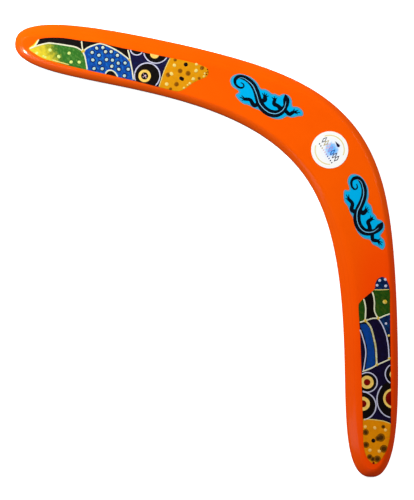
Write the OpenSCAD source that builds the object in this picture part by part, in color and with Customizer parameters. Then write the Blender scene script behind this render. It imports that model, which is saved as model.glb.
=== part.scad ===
// Two-armed returning boomerang for a right-handed thrower: five plies of veneer shaped to an
// aerofoil, with a printed film on each arm, two die-cut stickers and a round label.
// It rests on its flat side. +X runs from arm A towards arm B, +Y from the crook towards the
// elbow, and +Z is up through the shaped face. The origin is the middle of the bounding box at
// the height of the flat side.

/* [Plan shape] */
// Reach of arm A along X, from the middle of the elbow to its tip
reach_a = 196.4; // [160:0.2:240]
// Reach of arm B along X, from the middle of the elbow to its tip
reach_b = 199.6; // [160:0.2:240]
// Fall of arm A for each millimetre of reach, well away from the elbow
slope_a = 1.0; // [0.8:0.05:1.2]
// Fall of arm B for each millimetre of reach, well away from the elbow
slope_b = 0.955; // [0.8:0.005:1.2]
// Size of the elbow's bend on arm A's side: larger is rounder
bend_a = 100; // [70:1:130]
// Size of the elbow's bend on arm B's side
bend_b = 82; // [60:1:120]
// Width of an arm
arm_w = 37.6; // [30:0.2:46]
// Width of the blade across the middle of the elbow
elbow_w = 49.4; // [40:0.2:60]
// How far the extra width of the elbow spreads along X
elbow_spread = 49; // [35:1:65]
// Length over which an arm rounds off into its tip
tip_len = 90; // [60:1:120]

/* [Section] */
// Number of plies in the blade is five; this is the thickness of each
ply_t = 1.2; // [0.8:0.05:1.6]
// Width of the bevel along the leading edges
lead_bevel = 5.5; // [4:0.1:7]
// Width of the bevel along the trailing edges
trail_bevel = 11; // [8:0.1:13]
// Width of the bevel round the elbow
elbow_bevel = 5.5; // [4:0.1:8]
// Width of the bevel at the tips
tip_bevel = 5; // [3:0.1:8]
// Height of the blunt leading edge, below its bevel
lead_edge = 2.4; // [1.4:0.1:3]
// Height of the thin trailing edge, below its bevel
trail_edge = 1.3; // [0.8:0.1:2]
// Distance from the elbow over which the bevels reach the arms' widths
bevel_run = 90; // [60:1:130]
// Small chamfer round the flat side
ease = 0.5; // [0.2:0.1:0.7]

/* [Films] */
// Thickness of the films, the stickers and the label
film_t = 0.15; // [0.1:0.01:0.3]
// Distance along X from the middle of the elbow to the near end of the arm films
panel_start = 89; // [80:1:110]
// Distance along X from the plateau's end to the far end of an arm film
panel_gap = 2; // [1:0.5:10]
// Length of a lizard sticker
lizard_len = 57; // [46:0.5:62]
// Sticker on arm A: distance along X of its middle
lizard_a_x = -52.4; // [-64:0.2:-44]
// Sticker on arm A: distance across the arm, positive towards the elbow's side
lizard_a_across = 0.5; // [-4:0.1:4]
// Sticker on arm A: turn away from the arm's own line, in degrees
lizard_a_turn = 0.7; // [-15:0.1:15]
// Sticker on arm B: distance along X of its middle
lizard_b_x = 51; // [44:0.2:64]
// Sticker on arm B: distance across the arm, positive towards the elbow's side
lizard_b_across = 4.1; // [-4:0.1:6]
// Sticker on arm B: turn away from the arm's own line, in degrees
lizard_b_turn = 11.1; // [-15:0.1:15]
// Diameter of the round label
label_d = 26; // [18:0.5:32]
// Distance along X of the label's middle
label_x = 4.4; // [-10:0.2:10]

/* [Hidden] */

plies = 5;
blade_t = plies * ply_t;
stations = 84;       // steps from tip to tip along each edge, an even number
ply_steps = 3;       // loft rings in each ply
bevel_power = 1.5;   // above 1 gives the bevels a rounded shoulder
tip_fullness = 5;    // how late the arm starts to narrow into its tip
tip_roundness = 0.41;
curve_steps = 4;     // points from one outline point to the next
lacquer = [1.0, 0.42, 0.03];

// ---- Plan shape ----

function arm_reach(x) = x < 0 ? reach_a : reach_b;
function arm_slope(x) = x < 0 ? slope_a : slope_b;
function arm_bend(x) = x < 0 ? bend_a : bend_b;

// The middle line is a hyperbola: round at the elbow and nearly straight along the arms.
function stretch(x) = sqrt(1 + pow(arm_slope(x) * x / arm_bend(x), 2));
function middle(x) = [x, -arm_bend(x) * (stretch(x) - 1)];
function tilt(x) = atan(-pow(arm_slope(x), 2) * x / (arm_bend(x) * stretch(x)));
function across(x) = [-sin(tilt(x)), cos(tilt(x))];

function half_width(x) = (arm_w + (elbow_w - arm_w) * exp(-pow(x / elbow_spread, 2) / 2)) / 2;

// Share of the width that is left at x when the arm ends at reach.
function taper(x, reach) =
    let (inward = max(0, min(1, (reach - abs(x)) / tip_len)))
    pow(1 - pow(1 - inward, tip_fullness), tip_roundness);

// ---- Section: side is 1 on the elbow's side of the middle line and -1 on the crook's ----

function leads(x, side) = (x >= 0) == (side > 0);
function run_in(x) = let (t = min(1, abs(x) / bevel_run)) t * t * (3 - 2 * t);
function mixed(at_elbow, at_arm, x) = at_elbow + (at_arm - at_elbow) * run_in(x);

function bevel_w(x, side) = mixed(elbow_bevel, leads(x, side) ? lead_bevel : trail_bevel, x);
function edge_h(x, side) = mixed(lead_edge, leads(x, side) ? lead_edge : trail_edge, x);

// How far the section has drawn in at height z, for a bevel of width w above an edge h high.
function drawn_in(z, w, h) =
    z < h ? max(0, ease - z) : w * pow((z - h) / (blade_t - h), bevel_power);

function width_at(x, side, z, reach) =
    (half_width(x) - drawn_in(z, bevel_w(x, side), edge_h(x, side))) * taper(x, reach);

function reach_at(x, z) = arm_reach(x) - drawn_in(z, tip_bevel, lead_edge);

function rim_point(angle, side, z) =
    let (reach = reach_at(angle, z), x = reach * sin(angle))
    middle(x) + side * width_at(x, side, z, reach) * across(x);

function rim_angle(i) = 180 * i / stations - 90;

// The blade's outline at height z, clockwise from the tip of arm A.
function rim(z) = concat(
    [for (i = [0 : stations]) rim_point(rim_angle(i), 1, z)],
    [for (i = [stations - 1 : -1 : 1]) rim_point(rim_angle(i), -1, z)]
);

widest = rim(ease);
rim_x = [for (p = widest) p.x];
rim_y = [for (p = widest) p.y];
centre = [(min(rim_x) + max(rim_x)) / 2, (min(rim_y) + max(rim_y)) / 2];

// ---- Plies ----

function ring_faces(row, n) = [
    for (i = [0 : n - 1])
        let (a = row * n + i, b = row * n + (i + 1) % n)
        each [[a, b, b + n], [a, b + n, a + n]]
];

function cap_faces(first, n) = [
    for (i = [0 : n / 2 - 1])
        [for (k = [i, i + 1, n - i - 1, (n - i) % n]) first + k]
];

function turned_over(faces) = [for (f = faces) [for (i = [len(f) - 1 : -1 : 0]) f[i]]];

// One ply: the part of the shaped blade between its lower and upper glue lines.
module ply(index) {
    rings = [for (k = [0 : ply_steps]) (index + k / ply_steps) * ply_t];
    n = 2 * stations;
    points = [for (z = rings) for (p = rim(z)) [p.x - centre.x, p.y - centre.y, z]];
    sides = [for (row = [0 : ply_steps - 1]) each ring_faces(row, n)];
    polyhedron(points, concat(turned_over(cap_faces(0, n)), sides, cap_faces(ply_steps * n, n)));
}

module veneer_1_bottom() {
    color(lacquer)
        ply(0);
}

module veneer_2_cross() {
    color(lacquer)
        ply(1);
}

module veneer_3_core() {
    color(lacquer)
        ply(2);
}

module veneer_4_cross() {
    color(lacquer)
        ply(3);
}

module veneer_5_top() {
    color(lacquer)
        ply(4);
}

// ---- Films ----

// A smooth closed curve through the points.
function closed_curve(p) = [
    for (i = [0 : len(p) - 1])
        for (k = [0 : curve_steps - 1])
            let (
                a = p[(i + len(p) - 1) % len(p)],
                b = p[i],
                c = p[(i + 1) % len(p)],
                d = p[(i + 2) % len(p)],
                t = k / curve_steps
            )
            (2 * b + (c - a) * t + (2 * a - 5 * b + 4 * c - d) * t * t
                + (3 * b - a - 3 * c + d) * t * t * t) / 2
];

module film(outline) {
    translate([-centre.x, -centre.y, blade_t])
        linear_extrude(film_t)
            polygon(outline);
}

// A point of an arm film. along runs from 0 at the elbow's end to 1 at the tip's end, and
// share runs from -1 to 1 between the edges of the flat top, from the crook's to the elbow's.
function panel_point(hand, along, share) =
    let (
        far = reach_at(hand, blade_t) - panel_gap,
        x = hand * (panel_start + (far - panel_start) * along),
        side = share < 0 ? -1 : 1
    )
    middle(x) + share * width_at(x, side, blade_t, reach_at(hand, blade_t)) * across(x);

// Outlines of the arm films as along and share.
panel_a = [
    [1.00, -0.6], [0.96, 0.7], [0.90, 0.95], [0.70, 0.95], [0.45, 0.95], [0.20, 0.95],
    [0.05, 0.93], [0, 0.55], [0.02, 0], [0.08, -0.35], [0.13, -0.85], [0.19, -0.95],
    [0.40, -0.95], [0.65, -0.95], [0.88, -0.95], [0.96, -0.93],
];
panel_b = [
    [0.02, 0.8], [0.08, 0.97], [0.30, 0.96], [0.55, 0.96], [0.80, 0.96], [0.93, 0.95],
    [0.985, 0.8], [1.00, 0.3], [0.98, -0.6], [0.92, -0.93], [0.70, -0.95], [0.45, -0.95],
    [0.22, -0.95], [0.13, -0.85], [0.09, 0], [0.04, 0.35],
];

module tip_panel_a() {
    color("midnightblue")
        film([for (p = closed_curve(panel_a)) panel_point(-1, p.x, p.y)]);
}

module tip_panel_b() {
    color("midnightblue")
        film([for (p = closed_curve(panel_b)) panel_point(1, p.x, p.y)]);
}

// Cut line round a lizard whose tail curls at the left end, in millimetres at full length.
lizard_full = 57;
lizard_cut = [
    [-27, 2], [-26.5, 5.5], [-23.5, 8.5], [-19, 9.8], [-13.5, 9.8], [-8.5, 8], [-5, 5.6],
    [-2, 6.5], [1, 6.3], [3.6, 5.6], [6, 6.5], [8.8, 6.6], [11, 8.8], [14.8, 9.3],
    [18, 7.3], [20.4, 3.6], [24, 4.6], [28.3, 3.4], [29.7, 0.5], [26.6, -1.4],
    [23.4, -3.9], [19.8, -4.5], [17.3, -7.6], [13, -9.6], [8, -10], [4, -9.5],
    [0.5, -8.6], [-3.5, -8.9], [-8, -8.5], [-12, -9.2], [-16.5, -7.7], [-19.3, -5.8],
    [-18, -3.2], [-19.5, -2], [-24, -1.2],
];

module lizard(x, offset, extra_turn) {
    turn = tilt(x) + extra_turn;
    place = middle(x) + offset * across(x);
    size = lizard_len / lizard_full;
    color("deepskyblue")
        film([
            for (p = closed_curve(lizard_cut))
                place + size * [p.x * cos(turn) - p.y * sin(turn), p.x * sin(turn) + p.y * cos(turn)]
        ]);
}

module lizard_decal_a() {
    lizard(lizard_a_x, lizard_a_across, lizard_a_turn);
}

module lizard_decal_b() {
    lizard(lizard_b_x, lizard_b_across, lizard_b_turn);
}

module round_label() {
    place = middle(label_x) - centre;
    color("white")
        translate([place.x, place.y, blade_t])
            cylinder(h = film_t, d = label_d, $fn = 96);
}

veneer_1_bottom();
veneer_2_cross();
veneer_3_core();
veneer_4_cross();
veneer_5_top();
tip_panel_a();
tip_panel_b();
lizard_decal_a();
lizard_decal_b();
round_label();
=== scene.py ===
"""Looks of a painted two-armed returning boomerang.

The blade is one lacquered skin over the plies. Each arm carries a printed film with cells of
colour, raised lines and raised dots. Two die-cut lizard stickers and a round label lie on the
flat top. Everything is in metres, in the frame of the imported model.
"""

from __future__ import annotations

import logging
import math
from dataclasses import dataclass, field, fields
from enum import Enum
from functools import cache
from typing import Callable, Sequence, Union

import bpy
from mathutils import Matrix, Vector
from mathutils.geometry import delaunay_2d_cdt


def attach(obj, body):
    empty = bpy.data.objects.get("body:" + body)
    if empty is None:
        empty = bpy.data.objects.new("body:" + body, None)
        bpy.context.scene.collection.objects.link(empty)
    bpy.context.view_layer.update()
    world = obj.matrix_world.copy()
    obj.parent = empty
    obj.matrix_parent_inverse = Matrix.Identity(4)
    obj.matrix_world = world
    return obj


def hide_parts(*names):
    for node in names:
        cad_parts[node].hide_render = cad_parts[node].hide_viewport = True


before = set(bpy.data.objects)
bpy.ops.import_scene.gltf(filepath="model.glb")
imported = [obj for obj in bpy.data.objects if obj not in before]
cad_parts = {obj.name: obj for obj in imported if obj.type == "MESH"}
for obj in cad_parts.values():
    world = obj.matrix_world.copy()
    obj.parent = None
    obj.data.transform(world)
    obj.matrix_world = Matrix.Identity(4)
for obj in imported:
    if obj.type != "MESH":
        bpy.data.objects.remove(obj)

LOG = logging.getLogger("boomerang")
MM = 0.001
BODY = "root"

Point = tuple[float, float]
Colour = tuple[float, float, float]
Number = Union[float, "Signal"]


# ---------------------------------------------------------------------------
# Node trees: maths written as Python expressions
# ---------------------------------------------------------------------------


def _operator(operation: str, mirrored: bool = False) -> Callable[[Signal, Number], Signal]:
    """Makes an arithmetic method for sockets.

    Args:
        operation: the name of a Math node's operation.
        mirrored: whether the socket is the second operand.

    Returns:
        The method.
    """

    def method(self: Signal, other: Number) -> Signal:
        """Adds the Math node."""
        operands = (other, self) if mirrored else (self, other)
        return self.tree.maths(operation, *operands)

    return method


class Signal:
    """An output socket of a node tree that takes part in Python arithmetic."""

    def __init__(self, tree: Tree, socket: bpy.types.NodeSocket) -> None:
        """Remembers the tree, so that new Math nodes go into it."""
        self.tree = tree
        self.socket = socket

    __add__, __radd__ = _operator("ADD"), _operator("ADD", mirrored=True)
    __sub__, __rsub__ = _operator("SUBTRACT"), _operator("SUBTRACT", mirrored=True)
    __mul__, __rmul__ = _operator("MULTIPLY"), _operator("MULTIPLY", mirrored=True)
    __truediv__, __rtruediv__ = _operator("DIVIDE"), _operator("DIVIDE", mirrored=True)
    __pow__ = _operator("POWER")

    def __abs__(self) -> Signal:
        """abs(self)."""
        return self.tree.maths("ABSOLUTE", self)


PLAIN_MATHS: dict[str, Callable[..., float]] = {
    "SQRT": math.sqrt,
    "EXPONENT": math.exp,
    "SINE": math.sin,
    "MAXIMUM": max,
    "MINIMUM": min,
    "GREATER_THAN": lambda a, b: float(a > b),
}


def calc(operation: str, *values: Number) -> Number:
    """One step of maths on plain numbers, or on sockets when any value is one.

    Args:
        operation: the name of a Math node's operation.
        values: its operands.

    Returns:
        A number, or the socket that will carry it.
    """
    for value in values:
        if isinstance(value, Signal):
            return value.tree.maths(operation, *values)
    return PLAIN_MATHS[operation](*values)


def choose(mask: Number, chosen: Number, other: Number) -> Number:
    """chosen where mask is 1 and other where it is 0."""
    return other + mask * (chosen - other)


def clamp(value: Number) -> Number:
    """value held between 0 and 1."""
    return calc("MINIMUM", calc("MAXIMUM", value, 0.0), 1.0)


def smooth(value: Number) -> Number:
    """An S-curve from 0 to 1."""
    held = clamp(value)
    return held * held * (3.0 - 2.0 * held)


class Tree:
    """A node tree with one way to add any node."""

    def __init__(self, holder: bpy.types.NodeTree) -> None:
        """Wraps a shader or geometry node tree."""
        self.holder = holder

    def node(
        self,
        kind: str,
        settings: dict[str, object] | None = None,
        sockets: dict[str | int, object] | None = None,
    ) -> bpy.types.Node:
        """Adds a node.

        Args:
            kind: the node's type.
            settings: its properties, set first; "stops" holds a ramp's places and colours.
            sockets: input names or numbers with values or Signals to link.

        Returns:
            The new node.
        """
        made = self.holder.nodes.new(kind)
        for name, value in (settings or {}).items():
            if name == "stops":
                elements = made.color_ramp.elements
                while len(elements) < len(value):
                    elements.new(1.0)
                for element, (place, colour) in zip(elements, value):
                    element.position = place
                    element.color = (*colour, 1.0)
            else:
                setattr(made, name, value)
        for name, value in (sockets or {}).items():
            if isinstance(value, Signal):
                self.holder.links.new(value.socket, made.inputs[name])
            else:
                made.inputs[name].default_value = value
        return made

    def signal(
        self,
        kind: str,
        settings: dict[str, object] | None = None,
        sockets: dict[str | int, object] | None = None,
        output: str | int = 0,
    ) -> Signal:
        """Adds a node and gives one of its outputs.

        Args:
            kind: the node's type.
            settings: its properties.
            sockets: input names or numbers with values or Signals to link.
            output: name or number of the output.

        Returns:
            That output.
        """
        return Signal(self, self.node(kind, settings, sockets).outputs[output])

    def maths(self, operation: str, *values: Number) -> Signal:
        """Adds a Math node."""
        return self.signal("ShaderNodeMath", {"operation": operation}, dict(enumerate(values)))

    def vector(self, x: Number, y: Number, z: Number) -> Signal:
        """Joins three numbers into a vector."""
        return self.signal("ShaderNodeCombineXYZ", None, {0: x, 1: y, 2: z})

    def parts(self, vector: Signal) -> tuple[Signal, Signal, Signal]:
        """Splits a vector into its three numbers."""
        node = self.node("ShaderNodeSeparateXYZ", None, {0: vector})
        return tuple(Signal(self, socket) for socket in node.outputs)


# ---------------------------------------------------------------------------
# Finishes
# ---------------------------------------------------------------------------


class Tone(Enum):
    """Colours of the lacquer, the inks and the enamels, in linear light."""

    ORANGE = (0.83, 0.096, 0.0006)
    ORANGE_DEEP = (0.78, 0.082, 0.0004)
    # Painted shade: a redder lacquer tone that stands in for the light falling off along arm B.
    PAINTED_SHADE_RED = (0.80, 0.046, 0.0003)
    SOOT = (0.006, 0.004, 0.004)
    SLATE = (0.10, 0.11, 0.13)
    OCHRE = (0.45, 0.35, 0.13)
    NAVY = (0.009, 0.006, 0.040)
    NIGHT = (0.007, 0.004, 0.020)
    INDIGO = (0.005, 0.013, 0.065)
    BLUE = (0.004, 0.050, 0.30)
    BLUE_DEEP = (0.002, 0.010, 0.055)
    AZURE = (0.010, 0.130, 0.46)
    TEAL = (0.003, 0.050, 0.17)
    LEAF = (0.028, 0.145, 0.016)
    FERN = (0.085, 0.235, 0.035)
    MOSS = (0.014, 0.070, 0.006)
    OLIVE = (0.045, 0.090, 0.006)
    SUN = (0.66, 0.52, 0.025)
    GOLD = (0.62, 0.255, 0.003)
    HONEY = (0.72, 0.235, 0.001)
    STAIN = (0.34, 0.115, 0.002)
    STAIN_DEEP = (0.20, 0.070, 0.002)
    UMBER = (0.085, 0.028, 0.003)
    CREAM = (0.66, 0.65, 0.46)
    PALE_GOLD = (0.95, 0.62, 0.13)
    LILAC = (0.50, 0.50, 0.64)
    FROST = (0.40, 0.56, 0.58)
    LIME = (0.56, 0.66, 0.17)
    BUTTER = (0.72, 0.56, 0.16)
    AMBER = (0.62, 0.40, 0.02)
    SAND = (0.85, 0.50, 0.12)
    STRING = (0.50, 0.45, 0.20)
    BLUSH = (0.66, 0.44, 0.52)
    LAVENDER = (0.34, 0.24, 0.56)
    WINE = (0.22, 0.003, 0.002)
    SKY = (0.0, 0.37, 0.70)
    MIST = (0.055, 0.27, 0.43)
    FIGURE = (0.002, 0.005, 0.011)
    ICE = (0.16, 0.47, 0.70)
    PAPER = (0.84, 0.84, 0.82)
    PAPER_SHADE = (0.70, 0.70, 0.68)
    HAZE = (0.66, 0.78, 0.93)
    BLOT = (0.07, 0.39, 0.90)
    STRAW = (0.72, 0.62, 0.30)
    FLOOR = (0.88, 0.88, 0.88)


class Dressing(Tree):
    """The node tree of one material, with the few building blocks that the finishes share."""

    def __init__(self, name: str) -> None:
        """Makes an empty node material of that name."""
        self.material = bpy.data.materials.new(name)
        self.material.use_nodes = True
        super().__init__(self.material.node_tree)
        self.holder.nodes.clear()
        self.place = self.signal("ShaderNodeTexCoord", None, None, "Object")

    def noise(self, size: float, detail: float = 2.0, stretch: Colour = (1, 1, 1)) -> Signal:
        """Soft noise from 0 to 1.

        Args:
            size: the size of its blotches in metres.
            detail: how many finer layers it has.
            stretch: scale of the pattern along each axis.

        Returns:
            The noise.
        """
        where = self.signal("ShaderNodeMapping", None, {"Vector": self.place, "Scale": stretch})
        sockets = {"Vector": where, "Scale": 1.0 / size, "Detail": detail}
        return self.signal("ShaderNodeTexNoise", None, sockets)

    def blend(self, factor: Number, first: object, second: object) -> Signal:
        """Mixes two colours.

        Args:
            factor: share of the second colour.
            first: a colour, or a Signal that carries one.
            second: the other colour.

        Returns:
            The mixed colour.
        """
        sides = [c if isinstance(c, Signal) else (*c, 1.0) for c in (first, second)]
        settings = {"data_type": "RGBA"}
        return self.signal("ShaderNodeMix", settings, {0: factor, 6: sides[0], 7: sides[1]}, 2)

    def bump(self, height: Signal, depth: float, strength: float = 1.0) -> Signal:
        """Turns a height from 0 to 1 into a normal; depth is in metres."""
        sockets = {"Height": height, "Distance": depth, "Strength": strength}
        return self.signal("ShaderNodeBump", None, sockets)

    def finish(self, sockets: dict[str, object]) -> bpy.types.Material:
        """Closes the tree with a Principled shader that has these sockets."""
        shader = self.signal("ShaderNodeBsdfPrincipled", None, sockets)
        self.node("ShaderNodeOutputMaterial", None, {"Surface": shader})
        return self.material


@dataclass(frozen=True)
class Lacquer:
    """Gloss orange lacquer over shaped plywood, with painted shade that turns it redder along arm
    B.

    Args:
        ply: thickness of a ply, whose glue lines show faintly on the bevels.
        flat_top: height of the flat top, above which no glue line shows.
        name: the material's name.
        line_width: half of a glue line's width, as a share of a ply.
        line_tone: colour of the coat over a glue line.
        along: where along X the painted shade starts and ends: the coat turns redder towards arm B,
            where the light falls off.
        across: the same along the heading, from arm B's crook side to its elbow side, which is
            turned away from the key lamp and more shaded.
        heading: the direction of across.
        red: share of the painted shade's red at the crook side, and what the elbow side adds to it.
        cloud_size: size of the broad differences of tone.
        streak_size: width of the brushed streaks along the blade.
        scuff_size: size of the dull patches.
        peel_size: size of the fine waves that spraying leaves.
        grain_size: width of the wood grain that shows through the coat.
        relief: height of the waves and the grain.
    """

    ply: float
    flat_top: float
    name: str = "orange_lacquer"
    line_width: float = 0.10
    line_tone: Colour = (0.40, 0.030, 0.001)
    along: Point = (30 * MM, 110 * MM)
    across: Point = (54 * MM, 72 * MM)
    heading: Point = (0.64, 0.77)
    red: Point = (0.35, 0.5)
    cloud_size: float = 34 * MM
    streak_size: float = 7 * MM
    scuff_size: float = 11 * MM
    peel_size: float = 1.6 * MM
    grain_size: float = 0.9 * MM
    relief: float = 0.035 * MM

    def material(self) -> bpy.types.Material:
        """Builds the node material.

        Returns:
            The material.
        """
        d = Dressing(self.name)
        streak = d.noise(self.streak_size, 2.0, (0.12, 1.0, 1.0))
        line = self._glue_lines(d)
        peel = d.noise(self.peel_size, 1.0)
        grain = d.noise(self.grain_size, 2.0, (0.05, 1.0, 1.0))
        relief = peel * 0.5 + grain * 0.35 + line * 0.5
        scuffs = clamp((d.noise(self.scuff_size, 6.0) - 0.60) * 6.0)
        sockets = {
            "Base Color": d.blend(line * 0.10, self._coat(d, streak), self.line_tone),
            "Roughness": 0.30 + streak * 0.08 + scuffs * 0.10,
            "Normal": d.bump(relief, self.relief, 0.6),
            "Specular IOR Level": 0.10,
            "Coat Weight": 0.30,
            "Coat Roughness": 0.12,
        }
        return d.finish(sockets)

    def _coat(self, d: Dressing, streak: Signal) -> Signal:
        """The coat's colour.

        Args:
            d: the material's tree.
            streak: the brushed streaks.

        Returns:
            Orange, uneven and streaked, with painted shade that turns it redder along arm B and
            most on its side turned away from the key lamp.
        """
        tone = clamp((d.noise(self.cloud_size, 3.0) - 0.35) * 1.6 + (streak - 0.5) * 0.35)
        orange = d.blend(tone, Tone.ORANGE_DEEP.value, Tone.ORANGE.value)
        x, y, _ = d.parts(d.place)
        (x0, x1), (u0, u1) = self.along, self.across
        # Painted shade: the coat turns redder along arm B, most on its side away from the key lamp,
        # where the light falls off.
        shaded_side = smooth((x * self.heading[0] + y * self.heading[1] - u0) / (u1 - u0))
        painted_shade = smooth((x - x0) / (x1 - x0)) * (self.red[0] + shaded_side * self.red[1])
        return d.blend(painted_shade, orange, Tone.PAINTED_SHADE_RED.value)

    def _glue_lines(self, d: Dressing) -> Signal:
        """Finds the glue lines that the bevels cut through.

        Args:
            d: the material's tree.

        Returns:
            1 on the lines and 0 elsewhere.
        """
        height = d.parts(d.place)[2]
        layer = height / self.ply
        nearest = abs(layer - d.maths("ROUND", layer))
        line = clamp(1.0 - nearest / self.line_width)
        on_bevel = calc("GREATER_THAN", self.flat_top - 0.1 * MM, height)
        return line * on_bevel * calc("GREATER_THAN", height, 0.3 * self.ply)


@dataclass(frozen=True)
class Fade:
    """A change of colour along a line on the blade.

    Args:
        start: where it starts, in metres.
        end: where it is complete.
        to: the colour that it ends in.
    """

    start: Point
    end: Point
    to: Tone


@dataclass(frozen=True)
class Enamel:
    """Hand-brushed enamel or ink: uneven in tone, slightly streaked and glossy.

    Args:
        name: the material's name.
        tone: its main colour.
        depth: share by which the thin places are darker.
        relief: height of the brush marks.
        roughness: roughness between the brush marks.
        coat: weight of the gloss coat.
        fade: a change of colour along the piece, if it has one.
        mottle: the tone of its uneven brush marks, if they show.
        blotch_size: size of the thick and thin places.
        brush_size: width of the brush marks.
        mark_size: size of the mottled marks.
    """

    name: str
    tone: Tone
    depth: float = 0.25
    relief: float = 0.03 * MM
    roughness: float = 0.34
    coat: float = 0.18
    fade: Fade | None = None
    mottle: Tone | None = None
    blotch_size: float = 2.6 * MM
    brush_size: float = 0.8 * MM
    mark_size: float = 1.5 * MM

    @cache
    def material(self) -> bpy.types.Material:
        """Builds the node material.

        Returns:
            The material.
        """
        d = Dressing(self.name)
        blotch = d.noise(self.blotch_size, 3.0)
        brush = d.noise(self.brush_size, 2.0, (0.35, 1.0, 1.0))
        thin = clamp((blotch - 0.30) * 1.8) * 0.7 + brush * 0.3
        full: object = self.tone.value
        if self.mottle:
            marks = d.noise(self.mark_size, 4.0, (0.6, 1.0, 1.0))
            full = d.blend(clamp((marks - 0.47) * 5.0), full, self.mottle.value)
        if self.fade:
            full = d.blend(self._along(d, blotch), full, self.fade.to.value)
        dark = d.blend(self.depth, full, (0.0, 0.0, 0.0))
        shade = d.blend(thin, dark, full)
        sockets = {
            "Base Color": shade,
            "Roughness": self.roughness + brush * 0.12,
            "Normal": d.bump(thin, self.relief, 0.7),
            "Specular IOR Level": 0.15,
            "Coat Weight": self.coat,
            "Coat Roughness": 0.15,
        }
        return d.finish(sockets)

    def _along(self, d: Dressing, wobble: Signal) -> Number:
        """How far the fade has come at each place.

        Args:
            d: the material's tree.
            wobble: noise that makes the fade's front ragged.

        Returns:
            0 before the fade's start to 1 past its end.
        """
        (x0, y0), (x1, y1) = self.fade.start, self.fade.end
        run = (x1 - x0, y1 - y0)
        length = run[0] ** 2 + run[1] ** 2
        x, y, _ = d.parts(d.place)
        share = ((x - x0) * run[0] + (y - y0) * run[1]) / length
        return smooth(share + (wobble - 0.5) * 0.9)


@dataclass(frozen=True)
class PrintedInk:
    """Flat ink under a clear film: even, with a fine print grain.

    Args:
        name: the material's name.
        tone: its colour.
        variation: share by which it is darker in places.
        roughness: roughness of the film over it.
        grain_size: size of the print grain.
        cloud_size: size of the broad differences of tone.
        relief: height of the film's unevenness.
    """

    name: str
    tone: Tone
    variation: float = 0.10
    roughness: float = 0.26
    grain_size: float = 0.35 * MM
    cloud_size: float = 9 * MM
    relief: float = 0.02 * MM

    @cache
    def material(self) -> bpy.types.Material:
        """Builds the node material.

        Returns:
            The material.
        """
        d = Dressing(self.name)
        grain = d.noise(self.grain_size, 1.0)
        cloud = d.noise(self.cloud_size, 2.0)
        darker = tuple(c * (1.0 - self.variation) for c in self.tone.value)
        sockets = {
            "Base Color": d.blend(grain * 0.5 + cloud * 0.5, darker, self.tone.value),
            "Roughness": self.roughness + cloud * 0.08,
            "Normal": d.bump(cloud * 0.6 + grain * 0.4, self.relief, 0.5),
            "Specular IOR Level": 0.15,
            "Coat Weight": 0.3,
            "Coat Roughness": 0.1,
        }
        return d.finish(sockets)


@dataclass(frozen=True)
class LabelPaper:
    """White coated paper with a ragged blue blot and a pale haze round it.

    Args:
        middle: the blot's middle, in metres.
        blot: the blot's radius.
        name: the material's name.
        fibre_size: size of the paper's fibres.
        ragged_size: size of the bays in the blot's edge.
        relief: height of the fibres.
    """

    middle: Point
    blot: float
    name: str = "label_paper"
    fibre_size: float = 0.5 * MM
    ragged_size: float = 2.2 * MM
    relief: float = 0.015 * MM

    def material(self) -> bpy.types.Material:
        """Builds the node material.

        Returns:
            The material.
        """
        d = Dressing(self.name)
        fibre = d.noise(self.fibre_size, 3.0)
        x, y, _ = d.parts(d.place)
        away = calc("SQRT", (x - self.middle[0]) ** 2.0 + (y - self.middle[1]) ** 2.0)
        ragged = d.noise(self.ragged_size, 3.0)
        wash = smooth(1.6 - away / self.blot + (ragged - 0.5) * 1.4)
        haze = smooth(1.4 - away / (self.blot * 2.0) + (ragged - 0.5) * 0.8)
        paper = d.blend(fibre * 0.25, Tone.PAPER.value, Tone.PAPER_SHADE.value)
        paper = d.blend(haze * 0.5, paper, Tone.HAZE.value)
        sockets = {
            "Base Color": d.blend(wash * 0.90, paper, Tone.BLOT.value),
            "Roughness": 0.38 + fibre * 0.12,
            "Normal": d.bump(fibre, self.relief, 0.6),
            "Coat Weight": 0.15,
            "Coat Roughness": 0.2,
        }
        return d.finish(sockets)


# ---------------------------------------------------------------------------
# The rule of the blade's shape
# ---------------------------------------------------------------------------


class Side(Enum):
    """The two edges of the blade, as signs across its middle line."""

    ELBOW = 1.0
    CROOK = -1.0


class Arm(Enum):
    """The two arms, as signs along X."""

    A = -1.0
    B = 1.0


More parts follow.
